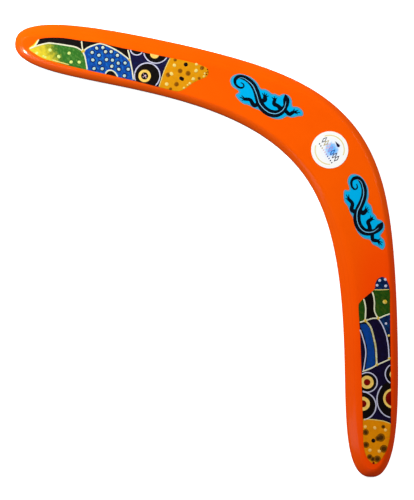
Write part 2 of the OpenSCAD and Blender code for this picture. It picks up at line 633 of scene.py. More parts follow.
@dataclass(frozen=True)
class BladeRule:
    """Plan shape and section of the blade, for plain numbers or for node sockets.

    The middle line is a hyperbola, so that it is round at the elbow and nearly straight along
    the arms. A section is flat below and on top, with a bevel along each edge. The sizes are
    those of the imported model, in metres.

    Args:
        reach_a, reach_b: how far each arm reaches along X.
        slope_a, slope_b: fall of each arm's middle line, far from the elbow.
        bend_a, bend_b: how gently each half of the elbow bends.
        arm_width, elbow_width: full width of the arms and of the elbow.
        elbow_spread: how far the elbow's width reaches along X.
        tip_length: length of the stretch that a tip is rounded over.
        thickness: thickness of the whole stack of plies.
        lead_bevel, trail_bevel, elbow_bevel, tip_bevel: width of each bevel.
        lead_edge, trail_edge: height of the edge under a bevel.
        bevel_run: distance from the elbow at which the arm's own bevels are complete.
        ease: radius of the bottom edge.
        centre_x, centre_y: middle of the outline's box.
    """

    reach_a: Number = 196.4 * MM
    reach_b: Number = 199.6 * MM
    slope_a: Number = 1.0
    slope_b: Number = 0.955
    bend_a: Number = 100 * MM
    bend_b: Number = 82 * MM
    arm_width: Number = 37.6 * MM
    elbow_width: Number = 49.4 * MM
    elbow_spread: Number = 49 * MM
    tip_length: Number = 90 * MM
    thickness: Number = 6 * MM
    lead_bevel: Number = 5.5 * MM
    trail_bevel: Number = 11 * MM
    elbow_bevel: Number = 5.5 * MM
    tip_bevel: Number = 5 * MM
    lead_edge: Number = 2.4 * MM
    trail_edge: Number = 1.3 * MM
    bevel_run: Number = 90 * MM
    ease: Number = 0.5 * MM
    centre_x: Number = 0.0
    centre_y: Number = 0.0

    # Powers of the tips' outline and of the bevels' crown, and how far the corner between a
    # bevel and the flat top is rounded.
    tip_fullness = 5.0
    tip_roundness = 0.41
    shoulder = 0.625
    corner = 0.5 * MM

    def _by_arm(self, x: Number, a: Number, b: Number) -> Number:
        """a on arm A's side of the elbow and b on arm B's."""
        return choose(calc("GREATER_THAN", x, 0.0), b, a)

    def _stretch(self, x: Number) -> Number:
        """How much steeper than flat the hyperbola is at x."""
        slope = self._by_arm(x, self.slope_a, self.slope_b)
        share = slope * x / self._by_arm(x, self.bend_a, self.bend_b)
        return calc("SQRT", 1.0 + share * share)

    def middle_y(self, x: Number) -> Number:
        """Height of the middle line at x, from the elbow's middle."""
        return self._by_arm(x, self.bend_a, self.bend_b) * (1.0 - self._stretch(x))

    def fall(self, x: Number) -> Number:
        """Slope of the middle line at x."""
        slope = self._by_arm(x, self.slope_a, self.slope_b)
        bend = self._by_arm(x, self.bend_a, self.bend_b)
        return -1.0 * slope * slope * x / (bend * self._stretch(x))

    def half_width(self, x: Number) -> Number:
        """Half of the blade's width at x, before the tips are rounded."""
        swell = calc("EXPONENT", x / self.elbow_spread * x / self.elbow_spread * -0.5)
        return (self.arm_width + (self.elbow_width - self.arm_width) * swell) * 0.5

    def taper(self, x: Number, reach: Number) -> Number:
        """Share of the width that is left at x when the arm ends at reach."""
        inward = clamp((reach - abs(x)) / self.tip_length)
        left = calc("MAXIMUM", 1.0 - (1.0 - inward) ** self.tip_fullness, 0.0)
        return left**self.tip_roundness

    def _edged(
        self, x: Number, side: Number, elbow: Number, lead: Number, trail: Number
    ) -> Number:
        """A size of the edge at x, which changes from the elbow's to the arm's."""
        at_arm = choose(calc("GREATER_THAN", x * side, 0.0), lead, trail)
        return choose(smooth(abs(x) / self.bevel_run), at_arm, elbow)

    def drawn_in(self, z: Number, bevel: Number, edge: Number) -> Number:
        """How far the section has drawn in from its widest.

        Args:
            z: height above the flat side.
            bevel: the bevel's width.
            edge: height of the edge under the bevel.

        Returns:
            The distance, in metres.
        """
        rise = (z - edge) / (self.thickness - edge)
        slant = 1.0 - (1.0 - clamp(rise)) ** self.shoulder
        below = calc("MINIMUM", rise, 0.0) * self.shoulder
        line = bevel * (slant + below)
        rounded = (line + calc("SQRT", line * line + self.corner * self.corner)) * 0.5
        low = self.ease - calc("MINIMUM", z, self.ease)
        quarter = self.ease - calc("SQRT", calc("MAXIMUM", self.ease**2.0 - low * low, 0.0))
        return rounded + quarter

    def reach(self, x: Number, z: Number) -> Number:
        """Where the arm on x's side ends at height z."""
        full = self._by_arm(x, self.reach_a, self.reach_b)
        return full - self.drawn_in(z, self.tip_bevel, self.lead_edge)

    def width(self, x: Number, side: Number, z: Number, reach: Number) -> Number:
        """Distance from the middle line to the surface.

        Args:
            x: place along X.
            side: the edge's sign, as in Side.
            z: height above the flat side.
            reach: where the arm ends at that height.

        Returns:
            The distance, in metres.
        """
        bevel = self._edged(x, side, self.elbow_bevel, self.lead_bevel, self.trail_bevel)
        edge = self._edged(x, side, self.lead_edge, self.lead_edge, self.trail_edge)
        return (self.half_width(x) - self.drawn_in(z, bevel, edge)) * self.taper(x, reach)

    def place(self, x: Number, offset: Number) -> tuple[Number, Number]:
        """A point beside the middle line.

        Args:
            x: place of the middle line's point along X.
            offset: distance from it, across the line.

        Returns:
            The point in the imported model's frame.
        """
        fall = self.fall(x)
        length = calc("SQRT", 1.0 + fall * fall)
        across = offset / length
        return x - fall * across - self.centre_x, self.middle_y(x) + across - self.centre_y


def centred_rule(steps: int = 1200) -> BladeRule:
    """Puts the origin in the middle of the outline's box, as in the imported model.

    Args:
        steps: how many points of each edge are measured.

    Returns:
        The blade's rule.
    """
    plain = BladeRule()
    edge = []
    for side in Side:
        for i in range(steps + 1):
            x = -plain.reach_a + (plain.reach_a + plain.reach_b) * i / steps
            full = plain.reach_b if x > 0 else plain.reach_a
            edge.append(plain.place(x, side.value * plain.half_width(x) * plain.taper(x, full)))
    middle = [(min(axis) + max(axis)) / 2 for axis in zip(*edge)]
    return BladeRule(centre_x=middle[0], centre_y=middle[1])


@dataclass
class BladeMap:
    """Finds places on the finished blade: along an arm, across it and up to its surface.

    Args:
        rule: the blade's shape.
        steps: how many points of each arm's middle line are measured.
        run: distance along the middle line to each of them.
        searches: rounds of the search for the nearest point of the middle line.
        halvings: rounds of the search for the surface's height.
    """

    rule: BladeRule
    steps: int = 240
    run: dict[Arm, list[float]] = field(default_factory=dict)
    searches: int = 6
    halvings: int = 18

    def __post_init__(self) -> None:
        """Measures the middle line of each arm."""
        for arm in Arm:
            total, past, run = 0.0, (0.0, 0.0), [0.0]
            for i in range(1, self.steps + 1):
                x = arm.value * i * self.stride
                here = (x, self.rule.middle_y(x))
                total += math.dist(past, here)
                run.append(total)
                past = here
            self.run[arm] = run

    @property
    def stride(self) -> float:
        """Step along X from one measured point of the middle line to the next."""
        return max(self.rule.reach_a, self.rule.reach_b) / self.steps

    def station(self, arm: Arm, distance: float) -> float:
        """A place on the middle line.

        Args:
            arm: the arm that it lies on.
            distance: its distance along the line from the elbow's middle.

        Returns:
            Its place along X.
        """
        run = self.run[arm]
        i = 1
        while i < self.steps and run[i] < distance:
            i += 1
        share = (distance - run[i - 1]) / (run[i] - run[i - 1])
        return arm.value * (i - 1 + share) * self.stride

    def on_arm(self, arm: Arm, distance: float, offset: float) -> Point:
        """The point at that distance along an arm and that offset across it, in metres."""
        return self.rule.place(self.station(arm, distance), offset)

    def height(self, point: Point) -> float:
        """Height of the blade's upper surface.

        Args:
            point: a point of the plan, in metres.

        Returns:
            The height above the flat side.
        """
        rule = self.rule
        px, py = point[0] + rule.centre_x, point[1] + rule.centre_y
        x = px
        for _ in range(self.searches):
            fall = rule.fall(x)
            x += ((px - x) + (py - rule.middle_y(x)) * fall) / (1.0 + fall * fall)
        fall = rule.fall(x)
        offset = ((py - rule.middle_y(x)) - (px - x) * fall) / math.hypot(1.0, fall)
        side = Side.ELBOW.value if offset > 0 else Side.CROOK.value

        def covers(z: float) -> bool:
            """Whether the section is as wide as the point's offset at height z."""
            reach = rule.reach(x, z)
            return abs(x) < reach and rule.width(x, side, z, reach) >= abs(offset)

        low, high = 0.5 * rule.thickness, rule.thickness
        if covers(high):
            return high
        for _ in range(self.halvings):
            half = (low + high) / 2
            low, high = (half, high) if covers(half) else (low, half)
        return low


# ---------------------------------------------------------------------------
# Geometry Nodes shapes
# ---------------------------------------------------------------------------


class ShapeTree(Tree):
    """A Geometry Nodes group with named inputs."""

    def __init__(self, name: str) -> None:
        """Makes a group that takes and gives one geometry."""
        group = bpy.data.node_groups.new(name, "GeometryNodeTree")
        super().__init__(group)
        group.interface.new_socket("Geometry", in_out="INPUT", socket_type="NodeSocketGeometry")
        group.interface.new_socket("Geometry", in_out="OUTPUT", socket_type="NodeSocketGeometry")
        self.entry = self.node("NodeGroupInput")
        self.values: dict[str, object] = {}

    def given(self, name: str, value: object, kind: str = "NodeSocketFloat") -> Signal:
        """Adds a named input.

        Args:
            name: its name.
            value: what the modifier will set on it.
            kind: the type of its socket.

        Returns:
            The input, for use in the tree.
        """
        self.holder.interface.new_socket(name, in_out="INPUT", socket_type=kind)
        self.values[name] = value
        return Signal(self, self.entry.outputs[name])

    def attribute(self, name: str) -> Signal:
        """Reads a number that is stored on the points."""
        settings = {"data_type": "FLOAT"}
        return self.signal("GeometryNodeInputNamedAttribute", settings, {"Name": name})

    def close(self, shape: Signal) -> None:
        """Ends the tree with real instances, smooth shading and the finish.

        Args:
            shape: the finished geometry.
        """
        finish = self.given("Finish", None, "NodeSocketMaterial")
        real = self.signal("GeometryNodeRealizeInstances", None, {0: shape})
        soft = self.signal("GeometryNodeSetShadeSmooth", None, {0: real})
        dressed = self.signal("GeometryNodeSetMaterial", None, {0: soft, "Material": finish})
        self.node("NodeGroupOutput", None, {0: dressed})

    def run_on(self, piece: bpy.types.Object, finish: bpy.types.Material) -> None:
        """Shapes a piece with the tree and leaves it a plain mesh.

        Args:
            piece: the object whose mesh is the tree's input.
            finish: the material of the result.
        """
        modifier = piece.modifiers.new("shape", "NODES")
        modifier.node_group = self.holder
        values = {**self.values, "Finish": finish}
        for item in self.holder.interface.items_tree:
            if item.in_out == "INPUT" and item.name in values:
                modifier[item.identifier] = values[item.name]
        seen = bpy.context.evaluated_depsgraph_get()
        mesh = bpy.data.meshes.new_from_object(piece.evaluated_get(seen))
        piece.modifiers.remove(modifier)
        old, piece.data = piece.data, mesh
        bpy.data.meshes.remove(old)
        mesh.name = piece.name


def new_piece(
    name: str,
    points: Sequence[Sequence[float]] = (),
    edges: Sequence[Sequence[int]] = (),
    faces: Sequence[Sequence[int]] = (),
) -> bpy.types.Object:
    """Makes an object at the origin.

    Args:
        name: its name.
        points: its points, in metres.
        edges: pairs of point numbers.
        faces: rings of point numbers.

    Returns:
        The object, in the scene.
    """
    mesh = bpy.data.meshes.new(name)
    mesh.from_pydata(points, edges, faces)
    mesh.update()
    piece = bpy.data.objects.new(name, mesh)
    bpy.context.scene.collection.objects.link(piece)
    return piece


def set_numbers(piece: bpy.types.Object, name: str, numbers: Sequence[float]) -> None:
    """Stores one number for each point of a piece."""
    attribute = piece.data.attributes.new(name, "FLOAT", "POINT")
    attribute.data.foreach_set("value", numbers)


def join_body(piece: bpy.types.Object, slot: str, *stands_for: str) -> None:
    """Fixes a piece to the body.

    Args:
        piece: the finished piece.
        slot: its material slot; not used.
        stands_for: the CAD nodes that it replaces.
    """
    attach(piece, BODY)
    if stands_for:
        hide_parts(*stands_for)
    LOG.info("%s: %d faces", piece.name, len(piece.data.polygons))


# ---------------------------------------------------------------------------
# Outlines and paths
# ---------------------------------------------------------------------------


def curve_through(points: Sequence[Point], steps: int, closed: bool) -> list[Point]:
    """A smooth curve through the points.

    Args:
        points: the points that it passes through.
        steps: how many short lines join one point to the next.
        closed: whether it returns to its first point.

    Returns:
        The points of the curve.
    """
    count = len(points)
    spans = count if closed else count - 1

    def at(i: int) -> Point:
        """Point i, counted on past either end."""
        return points[i % count] if closed else points[max(0, min(count - 1, i))]

    out: list[Point] = []
    for i in range(spans):
        a, b, c, d = at(i - 1), at(i), at(i + 1), at(i + 2)
        for k in range(steps):
            t = k / steps
            out.append(
                tuple(
                    0.5
                    * (
                        2 * b[j]
                        + (c[j] - a[j]) * t
                        + (2 * a[j] - 5 * b[j] + 4 * c[j] - d[j]) * t * t
                        + (3 * b[j] - a[j] - 3 * c[j] + d[j]) * t**3
                    )
                    for j in (0, 1)
                )
            )
    if not closed:
        out.append(points[-1])
    return out


def oval(middle: Point, radius: float, stretch: float = 1.0, count: int = 40) -> list[Point]:
    """A closed ring of points.

    Args:
        middle: its middle.
        radius: its radius.
        stretch: what the radius along the first axis is multiplied by.
        count: how many points it has.

    Returns:
        The points.
    """
    turn = math.tau / count
    return [
        (middle[0] + radius * stretch * math.cos(i * turn), middle[1] + radius * math.sin(i * turn))
        for i in range(count)
    ]


def winding(point: Point, outline: Sequence[Point]) -> bool:
    """Whether an outline goes round a point, even where it crosses itself.

    Args:
        point: the point.
        outline: a closed outline.

    Returns:
        True where the outline covers the point.
    """
    x, y = point
    turns = 0
    ax, ay = outline[-1]
    for bx, by in outline:
        if (ay <= y) != (by <= y):
            cross = (bx - ax) * (y - ay) - (x - ax) * (by - ay)
            if (by > ay) == (cross > 0):
                turns += 1 if by > ay else -1
        ax, ay = bx, by
    return turns != 0


def runs_inside(path: Sequence[Point], outline: Sequence[Point]) -> list[list[Point]]:
    """Cuts a path at an outline.

    Args:
        path: points along the path.
        outline: a closed outline.

    Returns:
        The stretches of the path that lie inside it.
    """
    runs: list[list[Point]] = []
    open_run: list[Point] = []
    for point in path:
        if winding(point, outline):
            open_run.append(point)
            continue
        if len(open_run) > 2:
            runs.append(open_run)
        open_run = []
    if len(open_run) > 2:
        runs.append(open_run)
    return runs


def stroke(path: Sequence[Point], widths: Sequence[float], steps: int = 6) -> list[Point]:
    """The outline of a brush stroke.

    Args:
        path: points along its middle.
        widths: its full width at each of them.
        steps: how many short lines join one point to the next.

    Returns:
        A closed outline with round ends.
    """
    middle = curve_through(path, steps, closed=False)
    last = len(middle) - 1
    left, right = [], []
    for i, point in enumerate(middle):
        back, ahead = middle[max(0, i - 1)], middle[min(last, i + 1)]
        length = math.dist(back, ahead)
        nx, ny = (back[1] - ahead[1]) / length, (ahead[0] - back[0]) / length
        place = i / steps
        k = min(int(place), len(widths) - 2)
        half = 0.5 * (widths[k] + (widths[k + 1] - widths[k]) * (place - k))
        left.append((point[0] + nx * half, point[1] + ny * half))
        right.append((point[0] - nx * half, point[1] - ny * half))
    return left + _cap(left[-1], right[-1]) + right[::-1] + _cap(right[0], left[0])


def _cap(start: Point, end: Point, count: int = 4) -> list[Point]:
    """Rounds the end of a stroke.

    Args:
        start: the last point of one side.
        end: the first point of the other side.
        count: how many short lines the round end has.

    Returns:
        The points between the two.
    """
    middle = ((start[0] + end[0]) / 2, (start[1] + end[1]) / 2)
    dx, dy = start[0] - middle[0], start[1] - middle[1]
    out = []
    for i in range(1, count):
        turn = -math.pi * i / count
        c, s = math.cos(turn), math.sin(turn)
        out.append((middle[0] + dx * c - dy * s, middle[1] + dx * s + dy * c))
    return out


# ---------------------------------------------------------------------------
# Films made of cells of colour
# ---------------------------------------------------------------------------


@dataclass(frozen=True)
class Cell:
    """Areas of one finish on a film.

    Args:
        finish: their material.
        outlines: their closed outlines, in metres.
    """

    finish: bpy.types.Material
    outlines: list[list[Point]]


@dataclass
class Film:
    """A thin film that follows the blade, with cells of colour let into its face.

    Args:
        name: the piece's name.
        blade: finds the surface under it.
        outline: its cut edge.
        ground: the finish where no cell covers it.
        cells: the coloured areas; a later one covers an earlier one.
        thickness: its thickness.
        grid: spacing of the points that let it follow the bevels.
        merge: distance in millimetres under which two points become one.
    """

    name: str
    blade: BladeMap
    outline: list[Point]
    ground: bpy.types.Material
    cells: list[Cell]
    thickness: float = 0.15 * MM
    grid: float = 1.2 * MM
    merge: float = 1e-4

    def build(self) -> bpy.types.Object:
        """Cuts the film into triangles, colours them and gives the film its thickness.

        Returns:
            The finished film.
        """
        places, triangles = self._cut()
        kept, owners = [], []
        for triangle in triangles:
            middle = tuple(sum(places[i][j] for i in triangle) / 3 for j in (0, 1))
            if winding(middle, self.outline):
                kept.append(triangle)
                owners.append(self._owner(middle))
        return self._thicken(places, kept, owners)

    def _cut(self) -> tuple[list[Point], list[tuple[int, ...]]]:
        """Triangulates every outline together, with a loose grid of points between them.

        Returns:
            The places of the corners, in metres, and the triangles.
        """
        points: list[Vector] = []
        edges: list[tuple[int, int]] = []
        loops = [self.outline, *(loop for cell in self.cells for loop in cell.outlines)]
        for loop in loops:
            first, count = len(points), len(loop)
            points.extend(Vector(p) / MM for p in loop)
            edges.extend((first + i, first + (i + 1) % count) for i in range(count))
        low = [min(p[j] for p in self.outline) for j in (0, 1)]
        high = [max(p[j] for p in self.outline) for j in (0, 1)]
        counts = [int((high[j] - low[j]) / self.grid) for j in (0, 1)]
        for i in range(counts[0]):
            for k in range(counts[1]):
                point = (low[0] + (i + 0.5) * self.grid, low[1] + (k + 0.5) * self.grid)
                if winding(point, self.outline):
                    points.append(Vector(point) / MM)
        verts, _, faces, *_ = delaunay_2d_cdt(points, edges, [], 0, self.merge)
        return [(v.x * MM, v.y * MM) for v in verts], [tuple(f) for f in faces]

    def _owner(self, point: Point) -> int:
        """Number of the topmost cell that covers a point, or 0 for the ground."""
        for i in range(len(self.cells), 0, -1):
            if any(winding(point, loop) for loop in self.cells[i - 1].outlines):
                return i
        return 0

    def _thicken(
        self, places: list[Point], triangles: list[tuple[int, ...]], owners: list[int]
    ) -> bpy.types.Object:
        """Makes a closed film: its face, its back and the wall round its cut edge.

        Args:
            places: the places of the corners, in metres.
            triangles: the triangles that the film covers.
            owners: the number of each triangle's finish.

        Returns:
            The film.
        """
        used = sorted({i for t in triangles for i in t})
        number = {old: new for new, old in enumerate(used)}
        count = len(used)
        under = [(*places[i], self.blade.height(places[i])) for i in used]
        points = [(x, y, z + self.thickness) for x, y, z in under] + under
        top = [tuple(number[i] for i in t) for t in triangles]
        border = {}
        for a, b, c in top:
            for edge in ((a, b), (b, c), (c, a)):
                if edge[::-1] in border:
                    del border[edge[::-1]]
                else:
                    border[edge] = True
        back = [(c + count, b + count, a + count) for a, b, c in top]
        wall = [(b, a, a + count, b + count) for a, b in border]
        piece = new_piece(self.name, points, (), top + back + wall)
        for material in (self.ground, *(cell.finish for cell in self.cells)):
            piece.data.materials.append(material)
        spare = [0] * (len(back) + len(wall))
        piece.data.polygons.foreach_set("material_index", owners + spare)
        return piece


@dataclass
class PaintedLines:
    """Raised lines of enamel that follow paths on the blade.

    Args:
        name: the piece's name.
        blade: finds the surface under them.
        lift: how far that surface is above the blade.
        finish: their material.
        width: their full width.
        height: how far their crown stands above the surface.
        wobble: how far they wander to each side.
        wobble_run: length of the bends that they wander in.
        step: distance from one point of a line to the next.
        seed: seed of the wandering.
        runs: the paths, in metres.
    """

    name: str
    blade: BladeMap
    lift: float
    finish: bpy.types.Material
    width: float = 1.0 * MM
    height: float = 0.11 * MM
    wobble: float = 0.10 * MM
    wobble_run: float = 5 * MM
    step: float = 0.5 * MM
    seed: int = 3
    runs: list[list[Point]] = field(default_factory=list)

    def build(self) -> bpy.types.Object:
        """Lays the paths on the surface and sweeps the line along them.

        Returns:
            The lines as one piece.
        """
        points, edges = [], []
        for run in self.runs:
            first = len(points)
            points.extend((*p, self.blade.height(p) + self.lift) for p in run)
            edges.extend((first + i, first + i + 1) for i in range(len(run) - 1))
        piece = new_piece(self.name, points, edges)
        self._tree().run_on(piece, self.finish)
        return piece

    def _tree(self) -> ShapeTree:
        """A half-round bead that wanders a little and ends in round tips.

        Returns:
            The tree that makes it.
        """
        t = ShapeTree(self.name)
        half = t.given("Half width", self.width / 2)
        height = t.given("Height", self.height)
        wobble = t.given("Wobble", self.wobble)
        seed = t.given("Seed", float(self.seed))
        paths = t.signal("GeometryNodeMeshToCurve", None, {0: Signal(t, t.entry.outputs[0])})
        settings = {"mode": "LENGTH"}
        paths = t.signal("GeometryNodeResampleCurve", settings, {0: paths, 3: self.step})
        where = t.signal("GeometryNodeInputPosition")
        noise = t.node(
            "ShaderNodeTexNoise",
            {"noise_dimensions": "4D"},
            {"Vector": where, "W": seed, "Scale": 1.0 / self.wobble_run, "Detail": 1.0},
        )
        dx, dy, _ = t.parts(Signal(t, noise.outputs["Color"]))
        shift = t.vector((dx - 0.5) * wobble * 2.0, (dy - 0.5) * wobble * 2.0, 0.0)
        paths = t.signal("GeometryNodeSetPosition", None, {0: paths, "Offset": shift})
        paths = t.signal("GeometryNodeSetCurveNormal", {"mode": "Z_UP"}, {0: paths})
        along = t.node("GeometryNodeSplineParameter")
        share, run = Signal(t, along.outputs["Factor"]), Signal(t, along.outputs["Length"])
        whole = run / calc("MAXIMUM", share, 1e-4)
        to_end = calc("MINIMUM", run, whole - run)
        tip = calc("SQRT", clamp(to_end / half + 0.15))
        size = tip * (0.75 + Signal(t, noise.outputs["Fac"]) * 0.5)
        sockets = {"Resolution": 10, "Radius": 1.0}
        profile = t.signal("GeometryNodeCurvePrimitiveCircle", None, sockets)
        sockets = {0: profile, "Scale": t.vector(half, height, 1.0)}
        profile = t.signal("GeometryNodeTransform", None, sockets)
        sockets = {0: paths, 1: profile, "Scale": size, "Fill Caps": True}
        t.close(t.signal("GeometryNodeCurveToMesh", None, sockets))
        return t


@dataclass
class PaintedDots:
    """Low domes of enamel, one for each spot.

    Args:
        name: the piece's name.
        blade: finds the surface under them.
        lift: how far that surface is above the blade.
        finish: their material.
        spots: place and radius of each, in metres.
        height: how far a dome stands above the surface.
        seed: seed of the domes' turns and of their shapes.
    """

    name: str
    blade: BladeMap
    lift: float
    finish: bpy.types.Material
    spots: list[tuple[Point, float]]
    height: float = 0.14 * MM
    seed: int = 5

    def build(self) -> bpy.types.Object:
        """Puts a point at each spot and a dome on each point.

        Returns:
            The dots as one piece.
        """
        points = [(*p, self.blade.height(p) + self.lift) for p, _ in self.spots]
        piece = new_piece(self.name, points)
        set_numbers(piece, "radius", [radius for _, radius in self.spots])
        self._tree().run_on(piece, self.finish)
        return piece

    def _tree(self) -> ShapeTree:
        """Domes that are slightly out of round, each turned its own way.

        Returns:
            The tree that makes them.
        """
        t = ShapeTree(self.name)
        height = t.given("Height", self.height)
        seed = t.given("Seed", self.seed, "NodeSocketInt")
        ball = t.signal("GeometryNodeMeshUVSphere", None, {"Segments": 12, "Rings": 6})
        x, y, z = t.parts(t.signal("GeometryNodeInputPosition"))
        sockets = {0: ball, "Position": t.vector(x, y, calc("MAXIMUM", z, 0.0))}
        dome = t.signal("GeometryNodeSetPosition", None, sockets)
        radius = t.attribute("radius")
        settings = {"data_type": "FLOAT"}
        sockets = {2: 0.90, 3: 1.10, "Seed": seed}
        squeeze = t.signal("FunctionNodeRandomValue", settings, sockets, 1)
        sockets = {2: 0.0, 3: math.tau, "Seed": seed}
        turn = t.signal("FunctionNodeRandomValue", settings, sockets, 1)
        sockets = {
            0: Signal(t, t.entry.outputs[0]),
            "Instance": dome,
            "Rotation": t.vector(0.0, 0.0, turn),
            "Scale": t.vector(radius * squeeze, radius / squeeze, height),
        }
        t.close(t.signal("GeometryNodeInstanceOnPoints", None, sockets))
        return t


# ---------------------------------------------------------------------------
# Sub-assemblies
# ---------------------------------------------------------------------------


@dataclass
class Blade:
    """The lacquered skin over the five plies.

    Args:
        rule: the blade's sizes.
        stations: steps from tip to tip.
        rows: steps round the section.
        underside_share: share of the rows that lies on the flat side.
        top_share: share of the rows that lies on the flat top.
        crowding: how much closer the rows lie near the top.
        weld: distance under which two points become one.
        plies: the CAD nodes that the skin stands for.
    """

    rule: BladeRule
    stations: int = 220
    rows: int = 140
    underside_share: float = 0.08
    top_share: float = 0.08
    crowding: float = 1.6
    weld: float = 0.001 * MM
    plies: tuple[str, ...] = (
        "veneer_1_bottom",
        "veneer_2_cross",
        "veneer_3_core",
        "veneer_4_cross",
        "veneer_5_top",
    )

    def build(self) -> bpy.types.Object:
        """Shapes the skin and fixes it in the plies' place.

        Returns:
            The skin.
        """
        piece = new_piece("painted_blade")
        finish = Lacquer(self.rule.thickness / len(self.plies), self.rule.thickness)
        self._tree().run_on(piece, finish.material())
        join_body(piece, "lacquered_ply", *self.plies)
        return piece

    def _tree(self) -> ShapeTree:
        """Bends a flat grid into the blade: one way runs from tip to tip, the other round it.

        Returns:
            The tree, with the blade's sizes as its inputs.
        """
        t = ShapeTree("blade_shape")
        names = [size.name for size in fields(BladeRule)]
        sized = BladeRule(**{name: t.given(name, getattr(self.rule, name)) for name in names})
        sockets = {"Vertices X": self.stations + 1, "Vertices Y": self.rows + 1}
        sheet = t.signal("GeometryNodeMeshGrid", None, {"Size X": 1.0, "Size Y": 1.0, **sockets})
        across, around, _ = t.parts(t.signal("GeometryNodeInputPosition"))
        side = choose(calc("GREATER_THAN", around, 0.0), Side.CROOK.value, Side.ELBOW.value)
        climb = 1.0 - abs(around) * 2.0
        share = (climb - self.underside_share) / (1.0 - self.underside_share - self.top_share)
        height = sized.thickness * (1.0 - (1.0 - clamp(share)) ** self.crowding)
        spread = clamp(climb / self.underside_share) * clamp((1.0 - climb) / self.top_share)
        reach = sized.reach(across, height)
        x = reach * calc("SINE", across * math.pi)
        offset = side * spread * sized.width(x, side, height, reach)
        px, py = sized.place(x, offset)
        sockets = {0: sheet, "Position": t.vector(px, py, height)}
        bent = t.signal("GeometryNodeSetPosition", None, sockets)
        t.close(t.signal("GeometryNodeMergeByDistance", None, {0: bent, "Distance": self.weld}))
        return t


@dataclass(frozen=True)
class Ring:
    """A painted ring: a line round a dark disc, with a coloured eye.

    Args:
        middle: distance along the arm and offset across it, in millimetres.
        line: radius of the line, and of the disc inside it.
        eye: outer radius of the coloured band, or 0.
        pupil: radius of the dark middle of the eye, or 0.
        eye_middle: the eye's own middle, if it isn't the ring's.
        stretch: widens the ring along the arm.
        arc: where its line starts and ends, in degrees from the arm's own direction.
        dark: whether the middle of the eye is black instead of red.
    """

    middle: Point
    line: float
    eye: float = 0.0
    pupil: float = 0.0
    eye_middle: Point | None = None
    stretch: float = 1.0
    arc: Point = (0.0, 360.0)
    dark: bool = False


@dataclass(frozen=True)
class Dots:
    """Dots of one enamel.

    Args:
        name: the group's name.
        enamel: their enamel.
        spots: distance along the arm, offset across it and radius of each, in millimetres.
        halo: radius of the flat ring round a dot, as a multiple of its own, or 0.
        around: the enamel of that ring.
    """

    name: str
    enamel: Enamel
    spots: tuple[tuple[float, float, float], ...]
    halo: float = 0.0
    around: Enamel | None = None


@dataclass(frozen=True)
class PanelArt:
    """The design of one arm's film, in millimetres along and across the arm.

    Args:
        outline: the film's cut edge.
        cells: areas of one enamel each, from the lowest to the topmost.
        rings: painted rings, over the cells.
        over: areas that cover the rings.
        lines: paths of the raised lines.
        bold: paths of the broader raised lines.
        bound: paths of the thin lines that edge the gold.
        pale: paths of the lines in the rings' own enamel.
        dots: groups of raised dots.
        shift: moves the whole design along and across the arm.
    """

    outline: tuple[Point, ...]
    cells: tuple[tuple[Enamel, tuple[Point, ...]], ...]
    rings: tuple[Ring, ...]
    over: tuple[tuple[Enamel, tuple[Point, ...]], ...]
    lines: tuple[tuple[Point, ...], ...]
    bold: tuple[tuple[Point, ...], ...]
    bound: tuple[tuple[Point, ...], ...]
    pale: tuple[tuple[Point, ...], ...]
    dots: tuple[Dots, ...]
    shift: Point = (0.0, 0.0)


SOOT = Enamel("soot_enamel", Tone.SOOT, depth=0.3)
NIGHT = Enamel("night_enamel", Tone.NIGHT, depth=0.4, mottle=Tone.NAVY)
NAVY = Enamel("navy_enamel", Tone.NAVY, depth=0.4, mottle=Tone.INDIGO)
INDIGO = Enamel("indigo_enamel", Tone.INDIGO, depth=0.5, mottle=Tone.TEAL)
BLUE = Enamel("blue_enamel", Tone.BLUE, depth=0.3, mottle=Tone.AZURE)
BLUE_STRIP = Enamel("blue_strip_enamel", Tone.BLUE, depth=0.4, mottle=Tone.TEAL)
BLUE_HALO = Enamel("deep_blue_enamel", Tone.BLUE_DEEP, depth=0.2)
MOSS = Enamel("moss_enamel", Tone.MOSS, depth=0.5, mottle=Tone.OLIVE)
SUN = Enamel("sun_enamel", Tone.SUN, depth=0.2)
GOLD = Enamel("gold_enamel", Tone.GOLD, depth=0.2)
HONEY = Enamel("honey_enamel", Tone.HONEY, depth=0.25)
STAIN = Enamel("stain_enamel", Tone.STAIN, depth=0.2)
STAIN_DEEP = Enamel("deep_stain_enamel", Tone.STAIN_DEEP, depth=0.2)
PALE_GOLD = Enamel("pale_gold_enamel", Tone.PALE_GOLD, depth=0.45)
CREAM = Enamel("cream_enamel", Tone.CREAM, depth=0.2)
LILAC = Enamel("lilac_enamel", Tone.LILAC, depth=0.2)
FROST = Enamel("frost_enamel", Tone.FROST, depth=0.3, mottle=Tone.CREAM)
LIME = Enamel("lime_enamel", Tone.LIME, depth=0.2)
BUTTER = Enamel("butter_enamel", Tone.BUTTER, depth=0.2)
AMBER = Enamel("amber_enamel", Tone.AMBER, depth=0.3, mottle=Tone.BUTTER)
SAND = Enamel("sand_enamel", Tone.SAND, depth=0.2)
STRING = Enamel("string_enamel", Tone.STRING, depth=0.3, mottle=Tone.CREAM)
BLUSH = Enamel("blush_enamel", Tone.BLUSH, depth=0.2)
WINE = Enamel("wine_enamel", Tone.WINE, depth=0.6)
UMBER = Enamel("umber_enamel", Tone.UMBER, depth=0.5)


